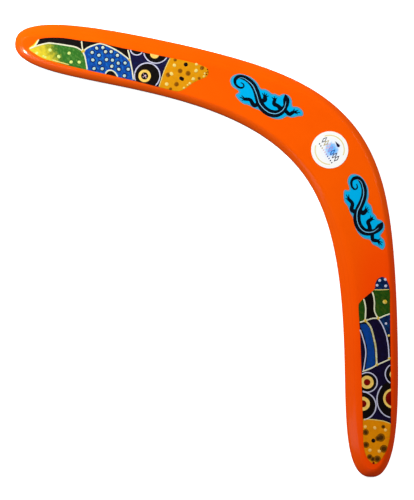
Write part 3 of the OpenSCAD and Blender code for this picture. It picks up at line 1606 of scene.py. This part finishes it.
def arm_a_art(blade: BladeMap) -> PanelArt:
    """The film of arm A: a leaf cell at the tip, a blue arch, dark rings and a gold end.

    Args:
        blade: finds where the leaf's green turns yellow.

    Returns:
        The design.
    """
    green_end = blade.on_arm(Arm.A, 202.5 * MM, -1 * MM)
    sunny_end = blade.on_arm(Arm.A, 213 * MM, -8 * MM)
    fade = Fade(green_end, sunny_end, Tone.SUN)
    leaf = Enamel("leaf_enamel", Tone.LEAF, depth=0.35, fade=fade, mottle=Tone.FERN)
    green_top = (
        (223.6, -3.6), (219, -1.0), (213, 1.6), (209.6, 2.4), (200, 2.6), (192.4, 2.5),
        (189.6, 1.7), (186.6, 0.5),
    )
    divide = ((189, 8.5), (186.6, 0.6), (184.4, -3.3), (182.4, -8.6), (181, -13))
    arch = (
        (186.0, 1.0), (182.7, 4.2), (176.8, 7.4), (173.8, 7.7), (170.5, 7.2), (163.8, 5.4),
        (156.8, 2.3), (153.4, 0.4),
    )
    second = ((156.5, 8.5), (153.8, 3), (152.2, -1.3), (149.9, -6.6), (147.2, -14.5))
    third = ((125.4, 9.5), (127.3, 1.3), (128.2, -5.5), (129, -15))
    hump = (
        (168.3, -14), (168, -11.8), (166.6, -9.8), (164.4, -9.2), (161.6, -10.2), (158.4, -13.6),
    )
    return PanelArt(
        outline=(
            (224.2, -3.9), (221.6, -0.6), (218.8, 3.4), (213.5, 5.6), (202, 7.4), (190, 7.6),
            (182, 8.0), (174, 8.5), (166, 7.8), (150, 7.6), (130, 7.9), (114, 8.4), (103, 8.2),
            (98.8, 7), (97.6, 4.4), (98.4, 1.2), (101.6, -1.2), (106, -5), (110, -10),
            (114, -13.2), (120, -13.9), (140, -13.5), (165, -12.6), (190, -11.5), (206, -10),
            (214, -8.8), (219.5, -6.6),
        ),
        cells=(
            (SUN, ((226, -8), (226, 6), (218.0, 3.8), (220.2, -1.8))),
            (leaf, (*green_top, *divide[1:], (200, -16), (226, -10))),
            (BLUE, (*arch, *second[2:], (181, -16), *divide[:0:-1])),
            (SOOT, hump),
            (NAVY, (*second, *third[::-1])),
            (GOLD, (*third, (90, -18), (90, 12))),
        ),
        rings=(
            Ring((149.9, 9.2), 4.5),
            Ring((136.4, 10.5), 8.7, 3.2, 0.0, (137.0, 8.2)),
            Ring((138.8, -8.0), 9.0, 4.4, 2.5, (140.6, -8.4), dark=True),
        ),
        over=((GOLD, (*third, (118, -18), (118, 12))),),
        lines=(green_top, divide, arch, second, hump, ((218.3, 3.6), (219.4, 0.8), (220.8, -1.9))),
        bold=(),
        bound=(third, ((207, -9.0), (200, -9.9), (194.5, -10.5))),
        pale=(),
        dots=(
            Dots(
                "frost", FROST, tuple(
                    (d, v, 1.15) for d, v in (
                        (180, 0.7), (177.4, 4.2), (173.2, 5.4), (170.8, 2.9), (167, 3.7),
                        (175, -0.4), (162.2, 1.9), (178.6, -4.4), (169.2, -2.4), (165, -2),
                        (173.4, -5.6), (160.6, -3.4), (155.9, -2.3), (164.6, -6.3),
                        (176.7, -10.2), (171, -9.3), (159.4, -7.5), (152.9, -6.2), (154.6, -11.2),
                    )
                ), 1.6, BLUE_HALO,
            ),
            Dots(
                "lime", LIME, (
                    (209.4, -2.5, 1.2), (202.6, -6.1, 1.2), (195.8, -2.5, 1.15),
                    (193.4, -8.4, 1.2), (187.8, -7.6, 1.15), (218.2, -6.0, 1.0),
                    (213.4, -7.4, 0.7), (211.9, -8.0, 0.8),
                ),
            ),
            Dots(
                "butter", BUTTER, (
                    (121.8, 3.5, 1.25), (122.4, -2.8, 1.3), (124.0, -10.6, 1.3),
                    (106.2, 3.6, 1.3), (106.6, -2.4, 1.2), (107.2, 8.0, 1.0), (108.2, -6.0, 0.9),
                    (109.4, -7.6, 0.6), (111.4, -10.2, 0.8), (100.0, 3.4, 0.7), (99.9, 1.4, 0.7),
                ),
            ),
            Dots("amber", AMBER, ((186.4, 0.6, 1.4), (153.4, 0.4, 1.0))),
            Dots(
                "umber", STAIN_DEEP, (
                    (117, 0.7, 1.2), (111.2, 0.4, 1.3), (124.6, -4.0, 1.2), (117.2, -9, 1.2),
                    (122.2, 7.4, 0.9), (102.8, 6.6, 1.1), (102.8, -0.9, 0.8), (120.6, -13.2, 0.8),
                ), 1.45, STAIN,
            ),
            Dots("soot", SOOT, ((114.3, 6, 1.5), (114.4, -4.4, 1.5), (115.2, -4.2, 1.3))),
            Dots(
                "wine", WINE, (
                    (98.9, 6.6, 0.5), (98.2, 5.0, 0.5), (98.5, 3.0, 0.5), (99.2, 4.2, 0.4),
                ),
            ),
            Dots(
                "blush", BLUSH, (
                    (140.2, -8.2, 0.8), (141.4, -9.2, 0.45), (139.4, -9.4, 0.4),
                    (141.8, -7.2, 0.35),
                ),
            ),
        ),
        shift=(-0.7, -0.4),
    )


def arm_b_art() -> PanelArt:
    """The film of arm B: a dome, strips, a field of rings and a honey-coloured tip.

    Returns:
        The design.
    """
    upper = ((109.4, 2.4), (112.9, 3.2), (117.4, 3.5), (121.8, 3.1), (124.6, 3.6), (128.2, 5.3))
    lower = ((113.6, -4.1), (117.4, -3.2), (122, -3.0), (129, -3.7))
    first = ((131, -8.8), (129.6, -3.6), (128.3, 1.5), (128.2, 5.9), (126.9, 9.7), (125.2, 15.2))
    outer = (
        (128.6, 5.6), (133.5, 8.3), (139.5, 10.5), (143.5, 11.3), (148.2, 11.9), (153, 12.1),
        (157.0, 12.2),
    )
    centre = (
        (130.0, -3.2), (133.8, -0.3), (138.2, 1.1), (143.4, 2.2), (148.2, 3.0), (152.9, 3.3),
        (160.6, 3.5),
    )
    inner = (
        (133.4, -8.6), (137.6, -6.9), (142.6, -5.5), (147.8, -4.3), (152.5, -4.0), (157.3, -4.6),
        (165.2, -6.0),
    )
    second = ((166, -8.6), (163.3, -1), (160.6, 4.3), (156.4, 14.4))
    third = ((198.9, -8), (198.9, -1.6), (199.5, 4.1), (200.3, 8.8), (202.4, 14.4))
    dome = ((108.3, 3.6), (108.8, 9), (108.9, 16))
    return PanelArt(
        outline=(
            (99.9, 10.0), (101.0, 7.1), (103.8, 5.2), (107.4, 4.4), (109.4, 2.4), (112.8, -2.4),
            (116.4, -6.6), (121, -7.9), (145, -7.5), (170, -7.2), (195, -6.5), (211, -6.0),
            (218.2, -5.4), (223.4, -4.1), (227.0, -2.2), (229.6, 0.6), (229.9, 3.2), (227.6, 6.2),
            (222.8, 9.4), (216, 11.8), (206, 13.2), (190, 13.3), (165, 13.2), (140, 13.5),
            (120, 14.2), (109, 14.8), (103.4, 13.6), (100.9, 12.0),
        ),
        cells=(
            (INDIGO, (*dome, (96, 18), (96, 0))),
            (MOSS, (*dome, (124, 17), *first[:2:-1], *upper[::-1])),
            (MOSS, (*lower, (131, -12), (110, -12))),
            (NIGHT, (*first[:1:-1], *centre, *outer[::-1], (125, 17))),
            (INDIGO, (first[5], (124, 18), (140.8, 18), (139.5, 11.2), (133.5, 8.9), (128.6, 5.9))),
            (BLUE_STRIP, (
                (131.8, -7.0), (131.8, -3.2), (135.4, -0.6), (140, 0.4), (146, 1.6), (153, 2.1),
                (160.4, 2.4), (163.4, -1.6), (163.8, -4.4), (157.3, -3.4), (152.5, -2.9),
                (147.6, -3.1), (142, -4.4), (137, -5.8), (134.0, -7.2),
            )),
            (NIGHT, (*inner, (166, -11), (132, -11))),
            (NIGHT, (*second, (158, 18), *third[::-1], (182, -12))),
            (HONEY, (*third, (236, 18), (236, -12))),
        ),
        rings=(
            Ring((173.0, -3.2), 6.9, 4.6, 2.3, (172.9, -3.4)),
            Ring((167.3, 16.6), 7.2, 3.7, 0.0, (167.6, 16.2)),
            Ring((185.0, 14.4), 10.9, 7.0, 5.4, (184.2, 14.8), 1.16, (222.0, 352.0)),
            Ring((189.5, -7.0), 9.8, 4.9, 2.5, (188.0, -6.4)),
        ),
        over=((HONEY, (*third, (212, 18), (212, -12))),),
        lines=(upper, lower, first, second),
        bold=(centre,),
        bound=(dome, third),
        pale=(outer, inner),
        dots=(
            Dots(
                "lilac", LILAC, (
                    (102.2, 8.2, 1.05), (101.9, 12.2, 1.0), (105.4, 6.2, 1.0), (106.3, 12.2, 1.05),
                    (132.2, 10.8, 0.9), (213.5, 1.6, 0.35),
                ),
            ),
            Dots(
                "sand", SAND, (
                    (204.2, -4.6, 1.1), (204.9, 2.1, 1.15), (206.3, 9.6, 1.1), (220.6, -1.1, 1.2),
                    (221.2, 5.4, 1.2), (167.4, 12.9, 0.6),
                ),
            ),
            Dots(
                "amber", AMBER, (
                    (117.2, 10.8, 1.6), (129.6, -3.6, 1.2), (128.3, 5.5, 1.2), (140.6, 12.4, 0.9),
                    (160.6, 3.6, 1.1), (156.4, 12.4, 1.0),
                ),
            ),
            Dots(
                "umber", UMBER, (
                    (204, 8.0, 0.8), (208.0, -4.3, 1.3), (211.6, 6.4, 1.7), (212.2, 4.6, 1.2),
                    (216.8, -4.0, 1.3), (219.4, 8.6, 1.6), (225.2, -1.2, 1.1), (226.6, 4.2, 1.4),
                    (226.8, 1.0, 1.0),
                ), 1.75, STAIN_DEEP,
            ),
            Dots("soot", SOOT, ((213.8, 1.2, 1.5),)),
            Dots("wine", WINE, ((229.4, 1.6, 0.8),)),
        ),
        shift=(-0.4, -0.3),
    )


@dataclass
class ArmPanel:
    """The decorated film of one arm.

    Args:
        arm: the arm that carries it.
        blade: finds places on the blade.
        art: its design.
        node: the CAD node that it stands for.
        film_thickness: the film's thickness.
        line_width, ring_width, bold_width, bound_width: widths of the raised lines.
        joints: how many short lines join one point of a cut edge to the next.
        fine_joints: the same for a raised line that is drawn with few points.
        many: how many points make a path fine enough to need only two.
    """

    arm: Arm
    blade: BladeMap
    art: PanelArt
    node: str
    film_thickness: float = 0.15 * MM
    line_width: float = 0.98 * MM
    ring_width: float = 0.86 * MM
    bold_width: float = 1.25 * MM
    bound_width: float = 0.65 * MM
    joints: int = 4
    fine_joints: int = 10
    many: int = 20

    def build(self) -> None:
        """Makes the film, its raised lines and its raised dots."""
        outline = self._closed(self.art.outline)
        name, thickness = f"{self.node}_film", self.film_thickness
        film = Film(name, self.blade, outline, SOOT.material(), self._cells(), thickness)
        join_body(film.build(), "panel_film", self.node)
        self._lines("lines", CREAM, self.line_width, self.art.lines, outline)
        self._lines("bound_lines", BUTTER, self.bound_width, self.art.bound, outline)
        if self.art.bold:
            self._lines("bold_lines", STRING, self.bold_width, self.art.bold, outline)
        rings = tuple(self._ring(ring) for ring in self.art.rings)
        self._lines("ring_lines", LILAC, self.ring_width, rings + self.art.pale, outline)
        for group in self.art.dots:
            self._dots(group)

    def _place(self, point: Sequence[float]) -> Point:
        """A place of the design, from millimetres along and across the arm."""
        along, across = point[0] + self.art.shift[0], point[1] + self.art.shift[1]
        return self.blade.on_arm(self.arm, along * MM, across * MM)

    def _closed(self, outline: Sequence[Point]) -> list[Point]:
        """A closed curve of the design, placed on the blade."""
        return [self._place(p) for p in curve_through(outline, self.joints, closed=True)]

    def _ring(self, ring: Ring, count: int = 48) -> tuple[Point, ...]:
        """The path of a ring's line.

        Args:
            ring: the ring.
            count: how many short lines it has.

        Returns:
            The path, in millimetres along and across the arm.
        """
        path = []
        for i in range(count + 1):
            turn = math.radians(ring.arc[0] + (ring.arc[1] - ring.arc[0]) * i / count)
            along = ring.line * ring.stretch * math.cos(turn)
            path.append((ring.middle[0] + along, ring.middle[1] + ring.line * math.sin(turn)))
        return tuple(path)

    def _cells(self) -> list[Cell]:
        """Lists every area of colour on the film.

        Returns:
            The areas, from the lowest to the topmost.
        """
        cells = [self._area(enamel, [outline]) for enamel, outline in self.art.cells]
        for ring in self.art.rings:
            eye = ring.eye_middle or ring.middle
            cells.append(self._area(SOOT, [oval(ring.middle, ring.line, ring.stretch)]))
            if ring.eye:
                cells.append(self._area(PALE_GOLD, [oval(eye, ring.eye)]))
            if ring.pupil:
                cells.append(self._area(SOOT if ring.dark else WINE, [oval(eye, ring.pupil)]))
        cells.extend(self._area(enamel, [outline]) for enamel, outline in self.art.over)
        for group in self.art.dots:
            if group.around:
                spots = [oval((d, v), r * group.halo, 1.0, 14) for d, v, r in group.spots]
                cells.append(self._area(group.around, spots))
        return cells

    def _area(self, enamel: Enamel, outlines: Sequence[Sequence[Point]]) -> Cell:
        """One enamel's area, placed on the blade."""
        return Cell(enamel.material(), [[self._place(p) for p in loop] for loop in outlines])

    def _lines(
        self,
        label: str,
        enamel: Enamel,
        width: float,
        paths: Sequence[Sequence[Point]],
        outline: list[Point],
    ) -> None:
        """Raised lines along the paths, cut off at the film's edge.

        Args:
            label: the end of the piece's name.
            enamel: the lines' enamel.
            width: their full width.
            paths: the paths, in millimetres along and across the arm.
            outline: the film's cut edge, in metres.
        """
        runs = []
        for path in paths:
            joints = self.fine_joints if len(path) < self.many else 2
            fine = curve_through(path, joints, closed=False)
            runs.extend(runs_inside([self._place(p) for p in fine], outline))
        name, lift, finish = f"{self.node}_{label}", self.film_thickness, enamel.material()
        lines = PaintedLines(name, self.blade, lift, finish, width, runs=runs)
        join_body(lines.build(), "panel_film")

    def _dots(self, group: Dots) -> None:
        """One group of raised dots."""
        spots = [(self._place((d, v)), r * MM) for d, v, r in group.spots]
        name, lift = f"{self.node}_{group.name}_dots", self.film_thickness
        dots = PaintedDots(name, self.blade, lift, group.enamel.material(), spots)
        join_body(dots.build(), "panel_film")


@dataclass
class LizardSticker:
    """A die-cut sticker: a dark lizard with a curled tail on a blue ground.

    Args:
        blade: finds places on the blade.
        node: the CAD node that it stands for.
        x: its middle along X.
        offset: its middle across the arm.
        turn: its turn away from the arm's own line, in degrees.
        thickness: its thickness.
        rim: width of the pale rim inside its cut edge, in millimetres.
        joints: how many short lines join one point of the cut edge to the next.

    Its drawing is in millimetres from its middle: the cut edge, the lizard's spine and its
    girth, the limbs with their widths, the feet with their toes, and the stripe on the back.
    """

    blade: BladeMap
    node: str
    x: float
    offset: float
    turn: float
    thickness: float = 0.12 * MM
    rim: float = 1.05
    joints: int = 4

    cut = (
        (-27, 2), (-26.5, 5.5), (-23.5, 8.5), (-19, 9.8), (-13.5, 9.8), (-8.5, 8), (-5, 5.6),
        (-2, 6.5), (1, 6.3), (3.6, 5.6), (6, 6.5), (8.8, 6.6), (11, 8.8), (14.8, 9.3),
        (18, 7.3), (20.4, 3.6), (24, 4.6), (28.3, 3.4), (29.7, 0.5), (26.6, -1.4),
        (23.4, -3.9), (19.8, -4.5), (17.3, -7.6), (13, -9.6), (8, -10), (4, -9.5),
        (0.5, -8.6), (-3.5, -8.9), (-8, -8.5), (-12, -9.2), (-16.5, -7.7), (-19.3, -5.8),
        (-18, -3.2), (-19.5, -2), (-24, -1.2),
    )
    spine = (
        (-19.3, 3.7), (-17.5, 3.4), (-16.5, 2.1), (-17.2, 0.6), (-19.7, 0.1), (-22.5, 1.2),
        (-23.9, 3.7), (-22.9, 6.3), (-19.5, 7.6), (-14.8, 7.2), (-10.5, 5.3), (-6.9, 2.3),
        (-4, -1.2), (-0.8, -4.4), (3.8, -6.8), (8.5, -7.2), (12.6, -5.7), (15.1, -2.4),
        (15.9, 1.6), (15.2, 4.4), (14.2, 6.3), (12.6, 8.7),
    )
    girth = (
        0.7, 0.9, 1.1, 1.3, 1.5, 1.8, 2.3, 2.8, 3.3, 3.7, 4.1, 4.3, 4.6, 5.0, 5.2, 5.2, 5.0,
        4.4, 3.5, 4.5, 4.5, 0.9,
    )
    limbs = (
        (((-1.6, -4.6), (-4.6, -7.0), (-8.4, -4.7), (-12.2, -5.8)), (3.2, 2.9, 2.5, 2.3)),
        (((-2.6, -3.2), (-0.8, -2.0), (0.9, -0.4), (0.1, 1.4)), (3.4, 3.2, 3.2, 2.7)),
        (((14.4, -1.8), (11.2, -0.6), (7.9, -0.2), (7.2, 2.7)), (3.6, 2.7, 2.8, 2.3)),
        (((16.0, -0.8), (20.4, -2.5), (21.8, -1.2), (22.8, 0.3)), (2.8, 2.5, 2.6, 2.3)),
    )
    feet = (
        ((-12.0, -5.7), ((-15.2, -4.3), (-15.8, -6.0), (-13.6, -7.5))),
        ((0.1, 1.2), ((-2.8, 3.2), (-1.3, 4.1), (0.4, 4.2), (2.1, 3.2))),
        ((7.2, 2.5), ((4.7, 3.3), (6.1, 4.6), (8.2, 4.5))),
        ((22.7, 0.2), ((22.2, 2.5), (25.2, 2.8), (26.9, 1.7), (26.2, 0.1))),
    )
    toe_widths = (1.3, 0.4)
    stripe = (
        (-22.4, 5.4), (-19.6, 7.2), (-14.8, 6.6), (-11.0, 5.2), (-7.6, 2.4), (-4.7, -0.6),
        (-2.0, -3.8), (2.6, -6.3), (7.6, -7.2), (12.0, -6.0), (14.7, -3.0), (15.6, 0.8),
        (14.8, 4.6),
    )
    stripe_widths = (0.2, 0.3, 0.4, 0.5, 0.5, 0.5, 0.5, 0.5, 0.5, 0.5, 0.5, 0.4, 0.2)

    def build(self) -> None:
        """Makes the sticker in its place."""
        cut = curve_through(self.cut, self.joints, closed=True)
        figure = [stroke(self.spine, self.girth)]
        figure += [stroke(path, widths) for path, widths in self.limbs]
        for foot, toes in self.feet:
            figure += [stroke((foot, toe), self.toe_widths) for toe in toes]
        stripe = stroke(self.stripe, self.stripe_widths)
        printed = (
            ("sticker_sky_ink", Tone.SKY, [self._inset(cut)]),
            ("figure_ink", Tone.FIGURE, figure),
            ("stripe_ink", Tone.ICE, [stripe]),
        )
        cells = [
            Cell(PrintedInk(name, tone).material(), [self._set(area) for area in areas])
            for name, tone, areas in printed
        ]
        ground = PrintedInk("sticker_rim_ink", Tone.MIST).material()
        name, edge = f"{self.node}_film", self._set(cut)
        film = Film(name, self.blade, edge, ground, cells, self.thickness)
        join_body(film.build(), "sticker_film", self.node)

    def _inset(self, outline: list[Point]) -> list[Point]:
        """Moves an outline inwards by the rim's width.

        Args:
            outline: the outline, in millimetres.

        Returns:
            The smaller outline.
        """
        count = len(outline)
        out = []
        for i, point in enumerate(outline):
            back, ahead = outline[i - 2], outline[(i + 2) % count]
            length = math.dist(back, ahead)
            nx, ny = (ahead[1] - back[1]) / length, (back[0] - ahead[0]) / length
            out.append((point[0] + nx * self.rim, point[1] + ny * self.rim))
        return out

    def _set(self, outline: Sequence[Point]) -> list[Point]:
        """Turns and moves an outline to its place on the blade.

        Args:
            outline: the outline, in the sticker's own millimetres.

        Returns:
            The outline in metres.
        """
        rule = self.blade.rule
        angle = math.atan(rule.fall(self.x)) + math.radians(self.turn)
        c, s = math.cos(angle) * MM, math.sin(angle) * MM
        mx, my = rule.place(self.x, self.offset)
        return [(mx + x * c - y * s, my + x * s + y * c) for x, y in outline]


@dataclass
class RoundLabel:
    """A white paper disc with two thin arcs, a blue blot and rows of plain lozenges.

    Args:
        blade: finds places on the blade.
        x: its middle along X.
        radius: its radius.
        thickness: its thickness.
        node: the CAD node that it stands for.
        blot: radius of the blue blot.
        blot_at: the blot's middle, from the label's.
        kite_at: the kite's place, from the label's middle.
        arcs: where the thin arcs start and end, in degrees.
        arc_steps: how many short lines an arc has.
        arc_radii: outer and inner radius of the arcs.
        row_inks: the inks of the row of large lozenges.
        row_pitch: distance from one large lozenge to the next.
        row_tilt: how far the rows fall for each step along them.
        row_lift, fine_lift: height of each row's middle, from the label's.
        fine_marks: how many small lozenges there are.
        large, hollow, small: half sizes of the lozenges across and along.
        lean: how far a lozenge leans for each step up it.
    """

    blade: BladeMap
    x: float = 4.4 * MM
    radius: float = 13 * MM
    thickness: float = 0.15 * MM
    node: str = "round_label"
    blot: float = 3.8 * MM
    blot_at: Point = (0.9 * MM, 1.2 * MM)
    kite_at: Point = (1.1 * MM, 6.5 * MM)
    arcs: tuple[Point, ...] = ((28, 160), (212, 322))
    arc_steps: int = 24
    arc_radii: Point = (10.6 * MM, 9.8 * MM)
    row_inks: tuple[Tone, ...] = (
        Tone.SLATE, Tone.OCHRE, Tone.BLUSH, Tone.LAVENDER, Tone.BLUE, Tone.NAVY, Tone.NAVY,
    )
    row_pitch: float = 2.6 * MM
    row_tilt: float = 0.12
    row_lift: float = 0.7 * MM
    fine_lift: float = -3.7 * MM
    fine_marks: int = 10
    large: Point = (1.3 * MM, 2.9 * MM)
    hollow: Point = (0.7 * MM, 1.6 * MM)
    small: Point = (0.55 * MM, 0.75 * MM)
    lean: float = -0.1

    def build(self) -> None:
        """Makes the disc and what is printed on it."""
        middle = self.blade.rule.place(self.x, 0.0)
        blot_at, kite_at = (
            (middle[0] + x, middle[1] + y) for x, y in (self.blot_at, self.kite_at)
        )
        paper = LabelPaper(blot_at, self.blot).material()
        cells = [Cell(PrintedInk("ring_ink", Tone.STRAW).material(), self._ring_arcs(middle))]
        row = self._row(middle, self.row_lift, len(self.row_inks))
        fine = self._row(middle, self.fine_lift, self.fine_marks)
        for i, tone in enumerate(self.row_inks):
            ink = PrintedInk(f"label_ink_{i + 1}", tone).material()
            share = [at for k, at in enumerate(fine) if k * len(row) // len(fine) == i]
            marks = [self._lozenge(at, self.small) for at in share]
            cells.append(Cell(ink, [self._lozenge(row[i], self.large), *marks]))
        cells.append(Cell(ink, [self._kite(kite_at)]))
        cells.append(Cell(paper, [self._lozenge(at, self.hollow) for at in row]))
        outline = oval(middle, self.radius, count=96)
        film = Film(f"{self.node}_paper", self.blade, outline, paper, cells, self.thickness)
        join_body(film.build(), "label_paper", self.node)

    def _row(self, middle: Point, lift: float, count: int) -> list[Point]:
        """Evenly spaced places along a line across the label.

        Args:
            middle: the label's middle.
            lift: height of the line's own middle above it.
            count: how many places there are.

        Returns:
            The places.
        """
        length = self.row_pitch * (len(self.row_inks) - 1)
        steps = [length * (i / (count - 1) - 0.5) for i in range(count)]
        return [(middle[0] + step, middle[1] + lift - step * self.row_tilt) for step in steps]

    def _ring_arcs(self, middle: Point) -> list[list[Point]]:
        """Two thin arcs that face each other.

        Args:
            middle: the label's middle.

        Returns:
            Their outlines.
        """
        arcs = []
        outer, inner = self.arc_radii
        steps = self.arc_steps
        for start, end in self.arcs:
            turns = [math.radians(start + (end - start) * i / steps) for i in range(steps + 1)]
            arc = [(outer, turn) for turn in turns] + [(inner, turn) for turn in reversed(turns)]
            points = ((r * math.cos(turn), r * math.sin(turn)) for r, turn in arc)
            arcs.append([(middle[0] + x, middle[1] + y) for x, y in points])
        return arcs

    def _lozenge(self, at: Point, size: Point) -> list[Point]:
        """A four-cornered figure that leans a little.

        Args:
            at: its middle.
            size: half of its size across the label and up it.

        Returns:
            Its corners.
        """
        x, y = at
        across, along = size
        lean = self.lean * along
        return [(x + across, y), (x + lean, y + along), (x - across, y), (x - lean, y - along)]

    def _kite(self, at: Point) -> list[Point]:
        """A plain kite that points back along the row."""
        corners = ((-3.4, 0.3), (0.6, -1.1), (1.9, -0.2), (1.0, 1.2))
        return [(at[0] + x * MM, at[1] + y * MM) for x, y in corners]


# ---------------------------------------------------------------------------
# Studio
# ---------------------------------------------------------------------------


@dataclass(frozen=True)
class Lamp:
    """A soft rectangular light.

    Args:
        name: its name.
        at: its place in metres.
        aim: the point that it faces.
        size: its two sides in metres.
        power: its power in watts.
        mirrored: whether glossy surfaces mirror it.
        lit: whether it lights surfaces by diffuse reflection.
        spread: the angle of its cone in degrees.
    """

    name: str
    at: tuple[float, float, float]
    aim: tuple[float, float, float]
    size: tuple[float, float]
    power: float
    mirrored: bool = True
    lit: bool = True
    spread: float = 180.0


@dataclass
class Studio:
    """A pale floor, soft light and the camera above the blade.

    Args:
        view_centre: the point below the camera.
        view_height: height of the stretch of floor that the camera sees.
        view_turn: the camera's turn, in degrees.
        lens: its focal length, in millimetres.
        sensor: its sensor's larger side, in millimetres.
        focus_height: height at which view_height is measured.
        floor_size: side of the floor.
        floor_glow: strength of the floor's own light.
        floor_patch: size of the floor's slight differences of tone.
        sky: strength of the light from the horizon.
        sky_top: height on the unit sphere at which it has faded out.
        lamps: the lamps.
    """

    view_centre: Point = (1.4 * MM, -58.7 * MM)
    view_height: float = 351.9 * MM
    view_turn: float = 50.04
    lens: float = 100.0
    sensor: float = 36.0
    focus_height: float = 2 * MM
    floor_size: float = 6.0
    floor_glow: float = 0.90
    floor_patch: float = 0.4
    sky: float = 0.13
    sky_top: float = 0.55
    lamps: tuple[Lamp, ...] = (
        Lamp("key", (-0.60, -0.10, 0.40), (-0.05, 0.0, 0.0), (0.30, 0.30), 7.8, mirrored=False),
        Lamp("fill", (0.16, 0.62, 0.62), (0.06, 0.0, 0.0), (0.40, 0.40), 4.4, mirrored=False),
        Lamp(
            "glint", (-0.26, -0.50, 0.40), (-0.18, -0.06, 0.0), (0.05, 0.05), 0.2,
            lit=False, spread=30.0,
        ),
        Lamp("lift", (0.42, -0.36, 0.34), (-0.05, 0.02, 0.0), (0.30, 0.30), 0.4, mirrored=False),
        Lamp("sheen", (-0.025, -0.500, 0.386), (0.20, -0.075, 0.0), (0.10, 0.30), 0.15),
    )

    def build(self) -> None:
        """Sets up the floor, the lights and the camera."""
        self._camera()
        self._floor()
        self._sky()
        for lamp in self.lamps:
            self._light(lamp)
        bpy.context.scene.view_settings.view_transform = "Standard"

    def _camera(self) -> None:
        """A camera straight above, turned so that arm A points to the left."""
        data = bpy.data.cameras.new("camera")
        data.lens, data.sensor_width = self.lens, self.sensor
        camera = bpy.data.objects.new("camera", data)
        bpy.context.scene.collection.objects.link(camera)
        distance = self.view_height * self.lens / self.sensor
        camera.location = (*self.view_centre, self.focus_height + distance)
        camera.rotation_euler = (0.0, 0.0, math.radians(self.view_turn))
        bpy.context.scene.camera = camera

    def _floor(self) -> None:
        """A wide pale sheet that the boomerang lies on."""
        half = self.floor_size / 2
        corners = [(-half, -half, 0), (half, -half, 0), (half, half, 0), (-half, half, 0)]
        floor = new_piece("floor", corners, (), [(0, 1, 2, 3)])
        d = Dressing("floor_paper")
        haze = d.noise(self.floor_patch, 2.0)
        darker = tuple(c * 0.985 for c in Tone.FLOOR.value)
        colour = d.blend(haze, darker, Tone.FLOOR.value)
        glow = {"Emission Color": colour, "Emission Strength": self.floor_glow}
        floor.data.materials.append(d.finish({"Base Color": colour, "Roughness": 0.9, **glow}))
        floor.visible_glossy = False
        floor.visible_diffuse = False

    def _sky(self) -> None:
        """White light from low all round; it fades out where the flat top would mirror it."""
        world = bpy.data.worlds.new("studio")
        bpy.context.scene.world = world
        world.use_nodes = True
        tree = Tree(world.node_tree)
        world.node_tree.nodes.clear()
        up = tree.parts(tree.signal("ShaderNodeTexCoord", None, None, "Generated"))[2]
        fade = self.sky * (1.0 - smooth(up / self.sky_top))
        light = tree.signal("ShaderNodeBackground", None, {0: (1.0, 1.0, 1.0, 1.0), 1: fade})
        tree.node("ShaderNodeOutputWorld", None, {0: light})

    def _light(self, lamp: Lamp) -> None:
        """Hangs one lamp and aims it.

        Args:
            lamp: the lamp.
        """
        data = bpy.data.lights.new(lamp.name, "AREA")
        data.shape = "RECTANGLE"
        data.size, data.size_y = lamp.size
        data.energy = lamp.power
        data.spread = math.radians(lamp.spread)
        light = bpy.data.objects.new(lamp.name, data)
        bpy.context.scene.collection.objects.link(light)
        light.location = lamp.at
        light.visible_glossy = lamp.mirrored
        light.visible_diffuse = lamp.lit
        towards = Vector(lamp.aim) - Vector(lamp.at)
        light.rotation_euler = towards.to_track_quat("-Z", "Y").to_euler()


def main() -> None:
    """Builds the looks piece by piece."""
    logging.basicConfig(level=logging.INFO, format="%(name)s: %(message)s")
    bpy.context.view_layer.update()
    rule = centred_rule()
    LOG.info("middle of the box at %.3f, %.3f mm", rule.centre_x / MM, rule.centre_y / MM)
    blade = BladeMap(rule)
    Studio().build()
    Blade(rule).build()
    ArmPanel(Arm.A, blade, arm_a_art(blade), "tip_panel_a").build()
    ArmPanel(Arm.B, blade, arm_b_art(), "tip_panel_b").build()
    LizardSticker(blade, "lizard_decal_a", -52.4 * MM, 0.5 * MM, 0.7).build()
    LizardSticker(blade, "lizard_decal_b", 51 * MM, 4.1 * MM, 11.1).build()
    RoundLabel(blade).build()


if __name__ == "__main__":
    main()
